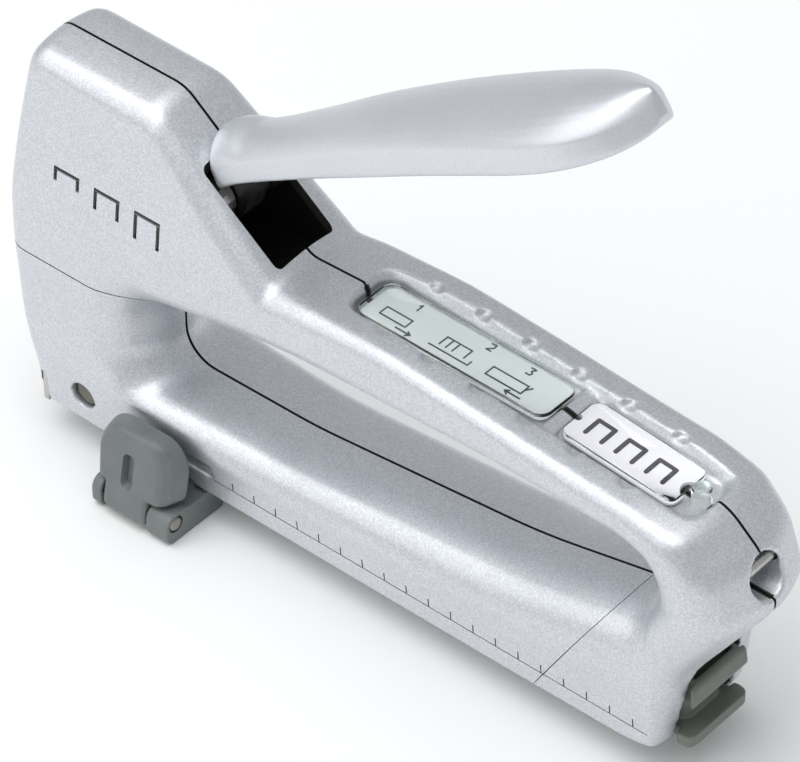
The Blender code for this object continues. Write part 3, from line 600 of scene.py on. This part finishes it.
def build_casing(material, inside):
    solid = casing("casing_form", 0.0, 8, 2.5, 6, 4)
    skin = bmesh.new()
    skin.from_mesh(solid.data)
    form = BVHTree.FromBMesh(skin)
    skin.free()
    boolean(solid, "DIFFERENCE", casing_cavity(), *casing_openings(), *side_tools(),
            *scallops(-1), *scallops(1))
    soften(solid, CAST_VOXEL, 5)
    boolean(solid, "DIFFERENCE", lever_slot(), *engraving(), *staple_figures())
    for side, sign in (("left", -1), ("right", 1)):
        low, high = sorted((sign * SEAM, sign * 30.0))
        for level in ("upper", "lower"):
            shell = copy_of(solid, f"cast_{level}_{side}")
            region = box("side_region", (-40, low, -20), (190, high, 120))
            boolean(shell, "INTERSECT", region, level_region(level))
            finish_piece(shell, f"{level}_shell_{side}", material)
            shade_inside(shell, form, inside)
    bpy.data.objects.remove(solid)


def is_ruler(x, z):
    return RULER_X[0] - 0.5 < x < RULER_X[1] + 4.0 and abs(z - 6.0) < 1.3


def is_figure(x, z):
    return FIGURES_AT[0] - 0.5 < x < 30.0 and 50.0 < z < FIGURES_AT[1] + 0.5


def shade_inside(shell, form, inside):
    """Paints shade on what lies behind the painted skin: deep faces get the near-black
    material, the ruler and figure cuts from a shallower depth.
    """
    shell.data.materials.append(inside)
    for face in shell.data.polygons:
        x, y, z = np.array(face.center) / MM
        pocket = RECESS_X[0] < x < RECESS_X[1] and abs(y) < 8.9 and z > 46.5
        recess = x > 142.0 and abs(y) < 4.2 and BAR_OVAL[2] < z < BAR_OVAL[3]
        notch = y < -11.0 and 16.5 < x < 37.0 and z < 8.0
        hole = y < -8.0 and x < 10.0 and z < 11.0
        if abs(y) > SEAM + 0.3 and (pocket or recess or notch or hole):
            continue
        depth = form.find_nearest(face.center)[3] / MM
        marked = y < -9.0 and (is_ruler(x, z) or is_figure(x, z))
        # Deep faces get painted shade, the near-black material; the ruler and figure cuts get
        # it as their dark fill.
        if depth > (MARK_DEPTH if marked else SHADE_DEPTH):
            face.material_index = 1


# ---------------------------------------------------------------- materials


class Nodes:
    """Short calls for building a material's nodes."""

    def __init__(self, name, colour, roughness, metallic=0.0):
        self.material = bpy.data.materials.new(name)
        self.material.use_nodes = True
        self.tree = self.material.node_tree
        self.shader = self.tree.nodes["Principled BSDF"]
        self.shader.inputs["Base Color"].default_value = (*colour, 1.0)
        self.shader.inputs["Roughness"].default_value = roughness
        self.shader.inputs["Metallic"].default_value = metallic
        self.where = self.tree.nodes.new("ShaderNodeTexCoord").outputs["Object"]

    def add(self, kind, **values):
        node = self.tree.nodes.new("ShaderNode" + kind)
        for key, value in values.items():
            if hasattr(node, key):
                setattr(node, key, value)
            else:
                node.inputs[key.replace("_", " ")].default_value = value
        return node

    def link(self, source, target):
        self.tree.links.new(source, target)

    def noise(self, size, detail=2.0, rough=0.5):
        """Noise with features of about this size in millimetres."""
        node = self.add("TexNoise", Scale=1.0 / (size * MM), Detail=detail,
                        Roughness=rough)
        self.link(self.where, node.inputs["Vector"])
        return node.outputs["Fac"]

    def cells(self, size):
        """A random value in each cell of this size in millimetres."""
        node = self.add("TexVoronoi", Scale=1.0 / (size * MM))
        self.link(self.where, node.inputs["Vector"])
        return node.outputs["Color"]

    def spread(self, value, low, high, low_in=0.3, high_in=0.7):
        """A value carried from one range to another."""
        node = self.tree.nodes.new("ShaderNodeMapRange")
        self.link(value, node.inputs["Value"])
        for key, number in (("From Min", low_in), ("From Max", high_in), ("To Min", low),
                            ("To Max", high)):
            node.inputs[key].default_value = number
        return node.outputs["Result"]

    def ramp(self, value, *stops):
        """A colour for a value: stops are (position, colour)."""
        node = self.tree.nodes.new("ShaderNodeValToRGB")
        while len(node.color_ramp.elements) < len(stops):
            node.color_ramp.elements.new(0.5)
        for element, (position, colour) in zip(node.color_ramp.elements, stops):
            element.position = position
            element.color = (*colour, 1.0)
        self.link(value, node.inputs["Fac"])
        return node.outputs["Color"]

    def average(self, a, b):
        node = self.tree.nodes.new("ShaderNodeMath")
        node.operation = "MULTIPLY_ADD"
        node.inputs[1].default_value = 0.5
        self.link(a, node.inputs[0])
        half = self.tree.nodes.new("ShaderNodeMath")
        half.operation = "MULTIPLY"
        half.inputs[1].default_value = 0.5
        self.link(b, half.inputs[0])
        self.link(half.outputs[0], node.inputs[2])
        return node.outputs[0]

    def colour(self, value):
        self.link(value, self.shader.inputs["Base Color"])

    def rough(self, value):
        self.link(value, self.shader.inputs["Roughness"])

    def bump(self, height, strength, distance):
        node = self.add("Bump", Strength=strength, Distance=distance * MM)
        self.link(height, node.inputs["Height"])
        self.link(node.outputs["Normal"], self.shader.inputs["Normal"])


def grey(value, tint=(0.975, 1.0, 1.05)):
    return tuple(value * t for t in tint)


def cast_material():
    """Silver paint on a casting: fine sparkle on a slightly uneven coat."""
    n = Nodes("silver_paint", grey(0.66), 0.42, 0.8)
    flakes = n.average(n.cells(0.24), n.noise(0.4, 3.0, 0.7))
    n.colour(n.ramp(flakes, (0.28, grey(0.57)), (0.5, grey(0.66)), (0.72, grey(0.77))))
    n.rough(n.spread(n.noise(9.0, 3.0), 0.39, 0.46))
    n.bump(flakes, 0.15, 0.05)
    return n.material


def painted_shade_material():
    """Painted shade for the casing's inner faces, openings and seams: near black, with a
    rough as-cast skin.
    """
    n = Nodes("painted_shade_dark", grey(0.03), 0.6, 0.2)
    skin = n.noise(0.8, 4.0, 0.7)
    n.colour(n.ramp(skin, (0.3, (0.022, 0.022, 0.018)), (0.7, (0.05, 0.05, 0.042))))
    n.bump(skin, 0.2, 0.1)
    return n.material


def lever_material():
    """Satin silver on the lever, smoother than the casing."""
    n = Nodes("satin_silver", grey(0.7), 0.4, 0.8)
    grain = n.noise(0.4, 2.0, 0.6)
    n.colour(n.ramp(grain, (0.35, grey(0.67)), (0.65, grey(0.72))))
    n.rough(n.spread(n.noise(14.0, 3.0), 0.37, 0.43))
    n.bump(grain, 0.05, 0.03)
    return n.material


def steel_material(name, level, roughness, tint=(1.0, 0.985, 0.96)):
    """Bare steel with drawn marks and a little uneven tarnish."""
    n = Nodes(name, grey(level, tint), roughness, 1.0)
    worn = n.noise(3.0, 4.0, 0.6)
    n.colour(n.ramp(worn, (0.3, grey(level * 0.8, tint)), (0.7, grey(level, tint))))
    n.rough(n.spread(n.noise(0.6, 3.0), roughness * 0.8, roughness * 1.3))
    n.bump(n.noise(0.25, 2.0), 0.12, 0.02)
    return n.material


def plastic_material(name, colour, roughness, grain=0.3):
    """Moulded plastic with a fine spark-eroded grain and rubbed patches."""
    n = Nodes(name, colour, roughness)
    rubbed = n.noise(6.0, 4.0, 0.6)
    dark = tuple(c * 0.88 for c in colour)
    light = tuple(c * 1.1 for c in colour)
    n.colour(n.ramp(rubbed, (0.3, dark), (0.7, light)))
    n.rough(n.spread(rubbed, roughness - 0.06, roughness + 0.06))
    n.bump(n.noise(grain, 2.0, 0.6), 0.15, 0.03)
    return n.material


def rubber_material():
    n = Nodes("rubber", (0.02, 0.02, 0.02), 0.8)
    n.rough(n.spread(n.noise(1.5, 3.0), 0.7, 0.9))
    n.bump(n.noise(0.6, 3.0), 0.2, 0.05)
    return n.material


def card_material():
    n = Nodes("white_card", (0.84, 0.84, 0.86), 0.55)
    fibre = n.noise(0.35, 4.0, 0.7)
    n.colour(n.ramp(fibre, (0.3, (0.82, 0.82, 0.84)), (0.7, (0.88, 0.88, 0.9))))
    n.bump(fibre, 0.08, 0.02)
    return n.material


def ink_material():
    n = Nodes("dark_ink", (0.03, 0.03, 0.035), 0.5)
    patchy = n.noise(0.5, 3.0, 0.6)
    n.colour(n.ramp(patchy, (0.3, (0.025, 0.025, 0.03)), (0.7, (0.06, 0.06, 0.065))))
    return n.material


def clear_material(name, colour, roughness=0.04):
    """Clear plastic that lets light through to what lies under it."""
    n = Nodes(name, colour, roughness)
    n.shader.inputs["Transmission Weight"].default_value = 1.0
    n.shader.inputs["IOR"].default_value = 1.46
    n.bump(n.noise(5.0, 2.0), 0.04, 0.1)
    output = n.tree.nodes["Material Output"]
    path = n.tree.nodes.new("ShaderNodeLightPath")
    passing = n.tree.nodes.new("ShaderNodeBsdfTransparent")
    passing.inputs["Color"].default_value = (*colour, 1.0)
    mix = n.tree.nodes.new("ShaderNodeMixShader")
    n.link(path.outputs["Is Shadow Ray"], mix.inputs["Fac"])
    n.link(n.shader.outputs["BSDF"], mix.inputs[1])
    n.link(passing.outputs["BSDF"], mix.inputs[2])
    n.link(mix.outputs["Shader"], output.inputs["Surface"])
    return n.material


# ---------------------------------------------------------------- finishing pieces


def body_of(node):
    return next(body for body, nodes in BODIES.items() if node in nodes)


def finish_piece(obj, node, material, angle=40.0):
    """Shades a piece, gives it its material, and puts it in its CAD node's place."""
    obj.data.materials.clear()
    obj.data.materials.append(material)
    smooth_shading(obj, angle)
    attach(obj, body_of(node))
    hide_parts(node)
    return obj


def add_detail(obj, body, material, angle=40.0):
    """A piece with no CAD node of its own, such as print, that goes with a body."""
    obj.data.materials.clear()
    obj.data.materials.append(material)
    smooth_shading(obj, angle)
    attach(obj, body)
    return obj


def repaint(material, *nodes):
    """CAD nodes that keep their own shape and get a finished material."""
    for node in nodes:
        for material_slot in frame["nodes"][node].material_slots:
            material_slot.material = material


# ---------------------------------------------------------------- lever


# Distance along the lever, then half its width, and heights of its side, top and bottom.
LEVER_STATIONS = (
    (-2.0, 6.2, 2.5, 6.8, -0.6),
    (-0.6, 6.6, 3.6, 8.8, -0.3),
    (3.5, 6.7, 3.9, 9.3, 0.0),
    (9.0, 6.8, 3.4, 8.1, 0.0),
    (24.0, 7.7, 3.5, 8.6, -0.2),
    (40.0, 9.4, 3.8, 9.6, -0.4),
    (56.0, 10.9, 3.7, 9.8, -0.7),
    (70.0, 12.0, 3.2, 9.3, -1.3),
    (82.0, 12.4, 2.4, 8.6, -2.0),
    (91.0, 11.3, 1.9, 7.9, -2.4),
    (98.0, 8.2, 1.4, 6.9, -2.5),
    (102.6, 4.6, 1.5, 6.2, -2.0),
    (105.0, 2.0, 1.6, 5.5, -1.0),
    (105.8, 0.9, 1.9, 4.8, 0.2),
)


def lever_point(along, above):
    """A point beside the lever's axis, which rises from the pivot at the resting angle."""
    a = math.radians(LEVER_RISE)
    c, s = math.cos(a), math.sin(a)
    return (LEVER_START[0] + c * along - s * above, LEVER_START[1] + s * along + c * above)


def lever_ring(along, half, side, top, bottom):
    """A paddle's cross-section: flat below, rounded edges, crowned on top."""
    rise = side - bottom
    outline = [(half * t, bottom) for t in (0.0, 0.3, 0.6, 0.8)]
    outline += [(half * 0.93, bottom), (half * 0.975, bottom + 0.06 * rise),
                (half * 0.995, bottom + 0.2 * rise), (half, bottom + 0.5 * rise)]
    for t in (0.985, 0.95, 0.89, 0.8, 0.68, 0.54, 0.38, 0.2):
        outline.append((half * t, side + (top - side) * (1 - t ** 2) ** 0.7))
    ring = outline + [(0.0, top)] + [(-y, z) for y, z in outline[:0:-1]]
    points = []
    for y, z in ring:
        px, pz = lever_point(along, z)
        points.append((px, y, pz))
    return points


def smooth_stations(rows, parts):
    """Rows between the given ones, on smooth curves through them."""
    rows = np.array(rows)
    found = []
    for i in range(len(rows) - 1):
        a, b = rows[max(i - 1, 0)], rows[i]
        c, d = rows[i + 1], rows[min(i + 2, len(rows) - 1)]
        for k in range(parts):
            t = k / parts
            m0 = (c - a) / max(c[0] - a[0], 1e-9) * (c[0] - b[0])
            m1 = (d - b) / max(d[0] - b[0], 1e-9) * (c[0] - b[0])
            row = ((2 * t ** 3 - 3 * t ** 2 + 1) * b + (t ** 3 - 2 * t ** 2 + t) * m0
                   + (-2 * t ** 3 + 3 * t ** 2) * c + (t ** 3 - t ** 2) * m1)
            row[0] = b[0] + (c[0] - b[0]) * t
            found.append(row)
    found.append(rows[-1])
    return found


def build_lever(material):
    rings = [lever_ring(*row) for row in smooth_stations(LEVER_STATIONS, 8)]
    grip = loft("lever_paddle", rings)
    slot = [lever_point(-4, -4), lever_point(30, -4), lever_point(30, 5.3),
            lever_point(-4, 5.3)]
    boolean(grip, "DIFFERENCE", prism("arm_slot", "Y", slot, -2.8, 2.8))
    soften(grip, 0.3, 6)
    finish_piece(grip, "lever_grip", material)


# ---------------------------------------------------------------- labels


def build_labels(card, ink, clear, colourless):
    """The printed card under its clear plate, and the name label behind the bridge."""
    plan = rounded_box(*CARD_X, -CARD_HALF, CARD_HALF, 2.0)
    sheet = prism("printed_card", "Z", plan, CARD_Z, CARD_Z + CARD_THICK)
    finish_piece(sheet, "instruction_card", card)
    plan = rounded_box(*PLATE_X, -PLATE_HALF, PLATE_HALF, 2.4)
    side = ((62.0, CARD_Z + 0.7), (105.0, CARD_Z + 0.7), (105.0, 52.9), (62.0, 53.9))
    plate = prism("clear_plate", "Z", plan, 50.0, 56.0)
    boolean(plate, "INTERSECT", prism("plate_side", "Y", side, -6, 6))
    finish_piece(bevel(plate, 0.6, 3), "instruction_window", clear)
    name = label_slab("name_label", 0.35, 0.4)
    cut_notch(name)
    finish_piece(name, "name_card", card)
    cover = label_slab("name_cover", 1.05, 0.6)
    finish_piece(bevel(cover, 0.15, 2), "name_window", colourless)
    profile = ((48.8, 1.8), (51.3, 1.8), (51.9, 1.65), (52.25, 1.3), (52.4, 0.8))
    knob = turned("clear_hook", "Z", (HOOK_X, 0.0), profile)
    finish_piece(knob, "window_clip", clear)
    print_z = CARD_Z + CARD_THICK
    for number, (place, lines) in enumerate(card_figures(), 1):
        figure = drawing(f"card_figure_{number}", lines, place, INK_WIDTH, print_z)
        add_detail(figure, "housing", ink)
    for number, place in enumerate(((70.4, 3.4), (85.8, 3.7), (94.7, 3.4)), 1):
        digit = drawing(f"card_digit_{number}", DIGITS[number], place, INK_WIDTH, print_z)
        add_detail(digit, "housing", ink)
    z = RECESS_FLOOR[4][1] + 0.75
    for number, x in enumerate((112.6, 119.0, 125.4), 1):
        staple = chain((-1.7, -1.9), (-1.7, 1.7), (1.7, 1.7), (1.7, -1.9))
        mark = drawing(f"label_staple_{number}", staple, (x, 0.1), 0.85, z)
        for vertex in mark.data.vertices:
            vertex.co.z += LABEL_SLOPE * (vertex.co.x - LABEL_X[0] * MM)
        add_detail(mark, "housing", ink)


def label_slab(name, above, thick):
    """A sheet that lies this far above the sloping rear floor."""
    x0, x1 = LABEL_X
    z0 = RECESS_FLOOR[4][1] + above
    z1 = z0 + LABEL_SLOPE * (x1 - x0)
    side = ((x0 - 1, z0 - LABEL_SLOPE), (x1 + 1, z1 + LABEL_SLOPE),
            (x1 + 1, z1 + LABEL_SLOPE + thick), (x0 - 1, z0 - LABEL_SLOPE + thick))
    plan = rounded_box(x0, x1, -LABEL_HALF, LABEL_HALF, 1.8)
    slab = prism(name, "Z", plan, 45.0, 56.0)
    return boolean(slab, "INTERSECT", prism(name + "_side", "Y", side, -6, 6))


def cut_notch(label):
    """Half-round notches at the middle of the label's two ends."""
    notches = [turned(f"notch_{i}", "Z", (x, 0.0), ((40.0, r), (60.0, r)))
               for i, (x, r) in enumerate(((LABEL_X[0], 0.8), (LABEL_X[1], 1.9)))]
    return boolean(label, "DIFFERENCE", *notches)


def chain(*points):
    """Neighbouring points as pairs."""
    return tuple(zip(points[:-1], points[1:]))


DIGITS = {
    1: chain((0.0, -0.8), (0.0, 0.8), (-0.4, 0.4)),
    2: chain((-0.5, 0.8), (0.5, 0.8), (0.5, 0.1), (-0.5, -0.8), (0.5, -0.8)),
    3: chain((-0.5, 0.8), (0.5, 0.8), (0.0, 0.1), (0.5, -0.3), (0.3, -0.8), (-0.5, -0.8)),
}


def card_figures():
    """Plain line figures: the drawer pulled out, staples going in, the drawer pushed home."""
    tray = chain((-4.0, -1.4), (1.6, -1.4), (1.6, 0.6), (-4.0, 0.6), (-4.0, -1.4))
    out = chain((0.4, -2.4), (3.6, -2.4), (2.8, -1.9)) + chain((3.6, -2.4), (2.8, -2.9))
    rail = chain((-4.2, -2.0), (4.2, -2.0)) + chain((4.2, -2.0), (4.2, -0.9))
    strip = chain((-2.8, -1.0), (-2.8, 1.2), (2.6, 1.2), (2.6, -1.0))
    teeth = chain((-1.4, -1.0), (-1.4, 1.2)) + chain((0.0, -1.0), (0.0, 1.2))
    home = chain((4.0, -2.4), (0.8, -2.4), (1.6, -1.9)) + chain((0.8, -2.4), (1.6, -2.9))
    shut = chain((-4.2, -1.4), (3.4, -1.4), (3.4, 0.8), (-4.2, 0.8), (-4.2, -1.4))
    latch = chain((3.4, -0.4), (4.2, 0.8))
    return (((70.0, -0.4), tray + out), ((81.4, -0.2), rail + strip + teeth),
            ((93.4, -0.4), shut + home + latch))


def capsule(name, a, b, width, low, high):
    """A thin flat bar with round ends between two points of the plan."""
    a, b = (np.array(p, dtype=float) for p in (a, b))
    turn = math.atan2(b[1] - a[1], b[0] - a[0])
    outline = []
    for end, start in ((b, -90), (a, 90)):
        for i in range(9):
            t = turn + math.radians(start + 180 * i / 8)
            outline.append((end[0] + width / 2 * math.cos(t),
                            end[1] + width / 2 * math.sin(t)))
    return prism(name, "Z", outline, low, high)


def drawing(name, lines, place, width, z):
    """Ink lines joined into one thin raised print, about a given place of the plan."""
    bars = []
    for i, (a, b) in enumerate(lines):
        a, b = ((place[0] + p[0], place[1] + p[1]) for p in (a, b))
        bars.append(capsule(f"{name}_{i}", a, b, width, z - 0.03, z + 0.05))
    bars[0].name = name
    return boolean(bars[0], "UNION", *bars[1:])


# ---------------------------------------------------------------- guide


def build_guide(plastic, pin_metal):
    x0, x1 = GUIDE_X
    profile = rounded(((-22.9, -6.3, 2.0), (-22.9, 0.0, 2.3), (-18.0, 0.0, 1.2),
                       (-16.8, -0.4, 0.6), (-8.0, -0.4, 0.3), (-8.0, -6.3, 0.6)))
    bracket = prism("hinge_bracket", "X", profile, x0, x1)
    boolean(bracket, "UNION", box("tongue", (18.4, -12.7, -1.4), (31.2, -8.1, 1.0)))
    bay = box("flap_bay", (18.5, -40.0, -20.0), (29.3, -17.2, 20.0))
    boolean(bracket, "DIFFERENCE", bay)
    soften(bracket, MOULD_VOXEL, 6)
    bore = turned("bore", "X", GUIDE_PIN, ((0, 1.75), (50, 1.75)))
    boolean(bracket, "DIFFERENCE", bore)
    finish_piece(bracket, "guide_bracket", plastic)
    flap = loft("folding_flap", flap_rings())
    soften(flap, MOULD_VOXEL, 5)
    bore = turned("flap_bore", "X", GUIDE_PIN, ((0, 1.75), (50, 1.75)))
    boolean(flap, "DIFFERENCE", bore, flap_dimple())
    finish_piece(flap, "guide_flap", plastic)
    profile = ((x0 - 0.1, 1.2), (x0 + 0.2, 1.45), (x0 + 0.5, 1.5), (x1 - 0.5, 1.5),
               (x1 - 0.2, 1.45), (x1 + 0.1, 1.1))
    finish_piece(turned("hinge_pin", "X", GUIDE_PIN, profile), "guide_pin", pin_metal)


def flap_dimple():
    """An upright thumb groove in the flap's front, wider at its mouth."""
    rings = []
    for depth, grow in ((6.4, 0.5), (4.6, 0.15), (3.4, -0.2)):
        plan = rounded_box(22.9 - grow, 25.1 + grow, 1.4 - grow, 8.2 + grow, 1.0 + grow)
        rings.append([(x, flap_plane(z) - depth, z) for x, z in plan])
    return loft("dimple", rings)


def flap_plane(z):
    """The flap's back face, which leans in to the casing as it rises."""
    return -18.0 + 0.19 * (z + 2.2)


def flap_outline(left, right, top, trim):
    """A rounded shield above the ears, and below it a tongue that fits between them."""
    low, foot = FLAP_LOW + trim, FLAP_FOOT + trim
    inner, outer = FLAP_TONGUE[0] + trim, FLAP_TONGUE[1] - trim
    corners = ((left, top, 8.0), (right, top, 7.5), (right, low, 5.0), (outer, low, 0.3),
               (outer, foot, 1.0), (inner, foot, 1.0), (inner, low, 0.3),
               (left + 1.2, low, 1.5))
    return rounded(corners, 8)


def flap_rings():
    """Rings from the flap's back to its smaller front, which leans in to the casing."""
    rings = []
    for depth, left, right, top, trim in FLAP_RINGS:
        rings.append([(x, flap_plane(z) - depth, z)
                      for x, z in flap_outline(left, right, top, trim)])
    return rings


# ---------------------------------------------------------------- rear and nose


def tab_outline(x0, neck, x1, inner, outer, r):
    """Plan of a tab: narrow inside the casing, wider and rounded outside it."""
    side = ((x0, inner, 0.4), (neck, inner, 0.4), (neck, outer, 0.6), (x1, outer, r))
    return rounded(tuple((x, -y, q) for x, y, q in side) + side[::-1], 6)


def build_rear(plastic, steel):
    """The latch with its hollow thumb rest, the drawer's end and the wire bar."""
    block = rounded(((129.8, -5.4, 0.6), (136.4, -5.4, 2.5), (136.4, 5.4, 2.5),
                     (129.8, 5.4, 0.6)))
    end = prism("drawer_lip", "Z", block, 1.3, 8.2)
    lip = prism("lip_form", "Z", tab_outline(132.4, 136.7, 140.0, 6.6, 8.0, 3.2), 0.7, 3.1)
    boolean(end, "UNION", lip)
    seat = turned("rod_seat", "X", (0.0, 5.6), ((128.0, 1.4), (135.3, 1.4)))
    boolean(end, "DIFFERENCE", seat)
    finish_piece(soften(end, MOULD_VOXEL, 5), "drawer_end", plastic)
    shape = rounded(((126.4, 10.9, 1.0), (134.2, 10.0, 1.5), (140.2, 9.2, 1.2),
                     (139.4, 13.6, 1.6), (133.8, 15.8, 1.6), (130.4, 18.4, 2.0),
                     (126.4, 16.0, 2.0)), 6)
    latch = prism("thumb_latch", "Y", shape, -9.0, 9.0)
    plan = prism("latch_plan", "Z", tab_outline(126.0, 138.7, 140.4, 6.2, 7.3, 1.6), 0, 30)
    boolean(latch, "INTERSECT", plan)
    hollow = ((137.9, 20.0), (137.9, 12.6), (132.0, 12.6), (129.6, 20.0))
    bore = turned("latch_bore", "Y", LATCH_PIVOT, ((-9, 1.5), (9, 1.5)))
    boolean(latch, "DIFFERENCE", bore, prism("hollow", "Y", hollow, -5.2, 5.2))
    finish_piece(soften(latch, MOULD_VOXEL, 5), "latch_tab", plastic)
    bar = turned("wire_bar", "Y", BAR, ((-4.7, 0.9), (-4.5, 1.1), (4.5, 1.1), (4.7, 0.9)))
    finish_piece(bar, "lanyard_bar", steel)
    profile = ((143.0, 0.6), (144.2, 0.6), (144.5, 0.45), (144.6, 0.2))
    rivet = turned("bar_rivet", "X", (0.0, 37.9), profile, 24)
    add_detail(rivet, "housing", steel)


def build_nose(brown):
    """The dished end of the pin in the round hole low on the nose."""
    profile = ((-10.3, 2.4), (-12.0, 2.4), (-11.7, 1.9), (-11.4, 1.1), (-11.3, 0.3))
    finish_piece(turned("nose_rivet", "Y", NOSE_PIN, profile), "nose_pin", brown)


def build_screws(steel):
    """Pan-head screws with crossed recesses, set in the far side."""
    for node, (x, z) in SCREWS.items():
        reach = half_width(z)
        top = reach - 1.6
        profile = ((4.0 - reach, 1.35), (reach - 3.0, 1.35), (reach - 3.0, 2.7),
                   (top - 0.5, 2.68), (top - 0.2, 2.5), (top, 2.1))
        screw = turned("head_" + node, "Y", (x, z), profile)
        cross = [box(f"recess_{i}", (x - a, top - 1.0, z - b), (x + a, top + 1.0, z + b))
                 for i, (a, b) in enumerate(((1.35, 0.28), (0.28, 1.35)))]
        finish_piece(boolean(screw, "DIFFERENCE", *cross), node, steel)


# ---------------------------------------------------------------- stage


CAMERA_TURN = 40.446
CAMERA_RISE = 41.546
CAMERA_TARGET = (0.070, 0.0, 0.0405)
PHOTO_WIDTH = 800.0
FOCAL_PIXELS = 5863.244
PHOTO_CENTRE = (405.186, 371.361)


def build_camera():
    a, e = math.radians(CAMERA_TURN), math.radians(CAMERA_RISE)
    back = Vector((math.sin(a) * math.cos(e), -math.cos(a) * math.cos(e), math.sin(e)))
    data = bpy.data.cameras.new("camera")
    camera = bpy.data.objects.new("camera", data)
    bpy.context.scene.collection.objects.link(camera)
    camera.location = Vector(CAMERA_TARGET) + back
    camera.rotation_euler = (math.pi / 2 - e, 0.0, a)
    data.sensor_width = 36.0
    data.lens = 36.0 * FOCAL_PIXELS / PHOTO_WIDTH
    data.shift_x = (400.0 - PHOTO_CENTRE[0]) / PHOTO_WIDTH
    data.shift_y = (PHOTO_CENTRE[1] - 381.0) / PHOTO_WIDTH
    bpy.context.scene.camera = camera


def area_light(name, place, size, power, colour=(1.0, 1.0, 1.0), aim=(0.07, 0.0, 0.04)):
    data = bpy.data.lights.new(name, "AREA")
    data.shape = "RECTANGLE"
    data.size, data.size_y = size
    data.energy = power
    data.color = colour
    light = bpy.data.objects.new(name, data)
    bpy.context.scene.collection.objects.link(light)
    light.location = place
    light.rotation_euler = (Vector(aim) - Vector(place)).to_track_quat("-Z", "Y").to_euler()


def build_stage():
    """A pale floor under a grey surround, with the main soft light from the front left."""
    floor = box("floor", (-3000, -3000, -10), (3000, 3000, 0))
    floor.location.z = CAD_BOX[0][2]
    n = Nodes("pale_floor", (0.95, 0.95, 0.95), 0.9)
    floor.data.materials.append(n.material)
    world = bpy.data.worlds.new("studio")
    world.use_nodes = True
    background = world.node_tree.nodes["Background"]
    background.inputs["Color"].default_value = (0.95, 0.98, 1.0, 1.0)
    background.inputs["Strength"].default_value = 0.53
    bpy.context.scene.world = world
    bpy.context.scene.view_settings.view_transform = "Standard"
    area_light("key", (-0.61, -0.91, 0.84), (1.5, 1.1), 5.0)
    area_light("top", (-0.1, -0.3, 1.6), (1.4, 1.4), 15.0)


# ---------------------------------------------------------------- assembly


silver = cast_material()
steel = steel_material("plated_steel", 0.6, 0.3)
dark_steel = steel_material("oiled_steel", 0.22, 0.4, (1.0, 1.0, 1.0))
brown_steel = steel_material("browned_steel", 0.22, 0.4, (1.0, 0.95, 0.82))
pin_steel = steel_material("dull_pin", 0.36, 0.45, (1.0, 0.98, 0.88))
guide_plastic = plastic_material("guide_grey", (0.155, 0.175, 0.17), 0.4)
latch_plastic = plastic_material("latch_grey", (0.165, 0.175, 0.15), 0.4)
clear = clear_material("clear_plastic", (0.93, 0.97, 0.95))
colourless = clear_material("clear_film", (0.99, 0.99, 1.0))

build_camera()
build_stage()
build_casing(silver, painted_shade_material())
build_lever(lever_material())
build_labels(card_material(), ink_material(), clear, colourless)
build_guide(guide_plastic, pin_steel)
build_rear(latch_plastic, steel)
build_nose(brown_steel)
build_screws(steel)
repaint(steel, "nose_plate", "magazine_channel", "staple_strip", "lever_pin",
        "pivot_washer_left", "pivot_washer_right", "lever_rivet_front",
        "lever_rivet_rear", "driver_blade", "main_spring", "spring_cap", "pusher_rod",
        "pusher_spring", "latch_pin")
repaint(dark_steel, "lever_arm", "striker")
repaint(rubber_material(), "striker_pad")
repaint(latch_plastic, "pusher")
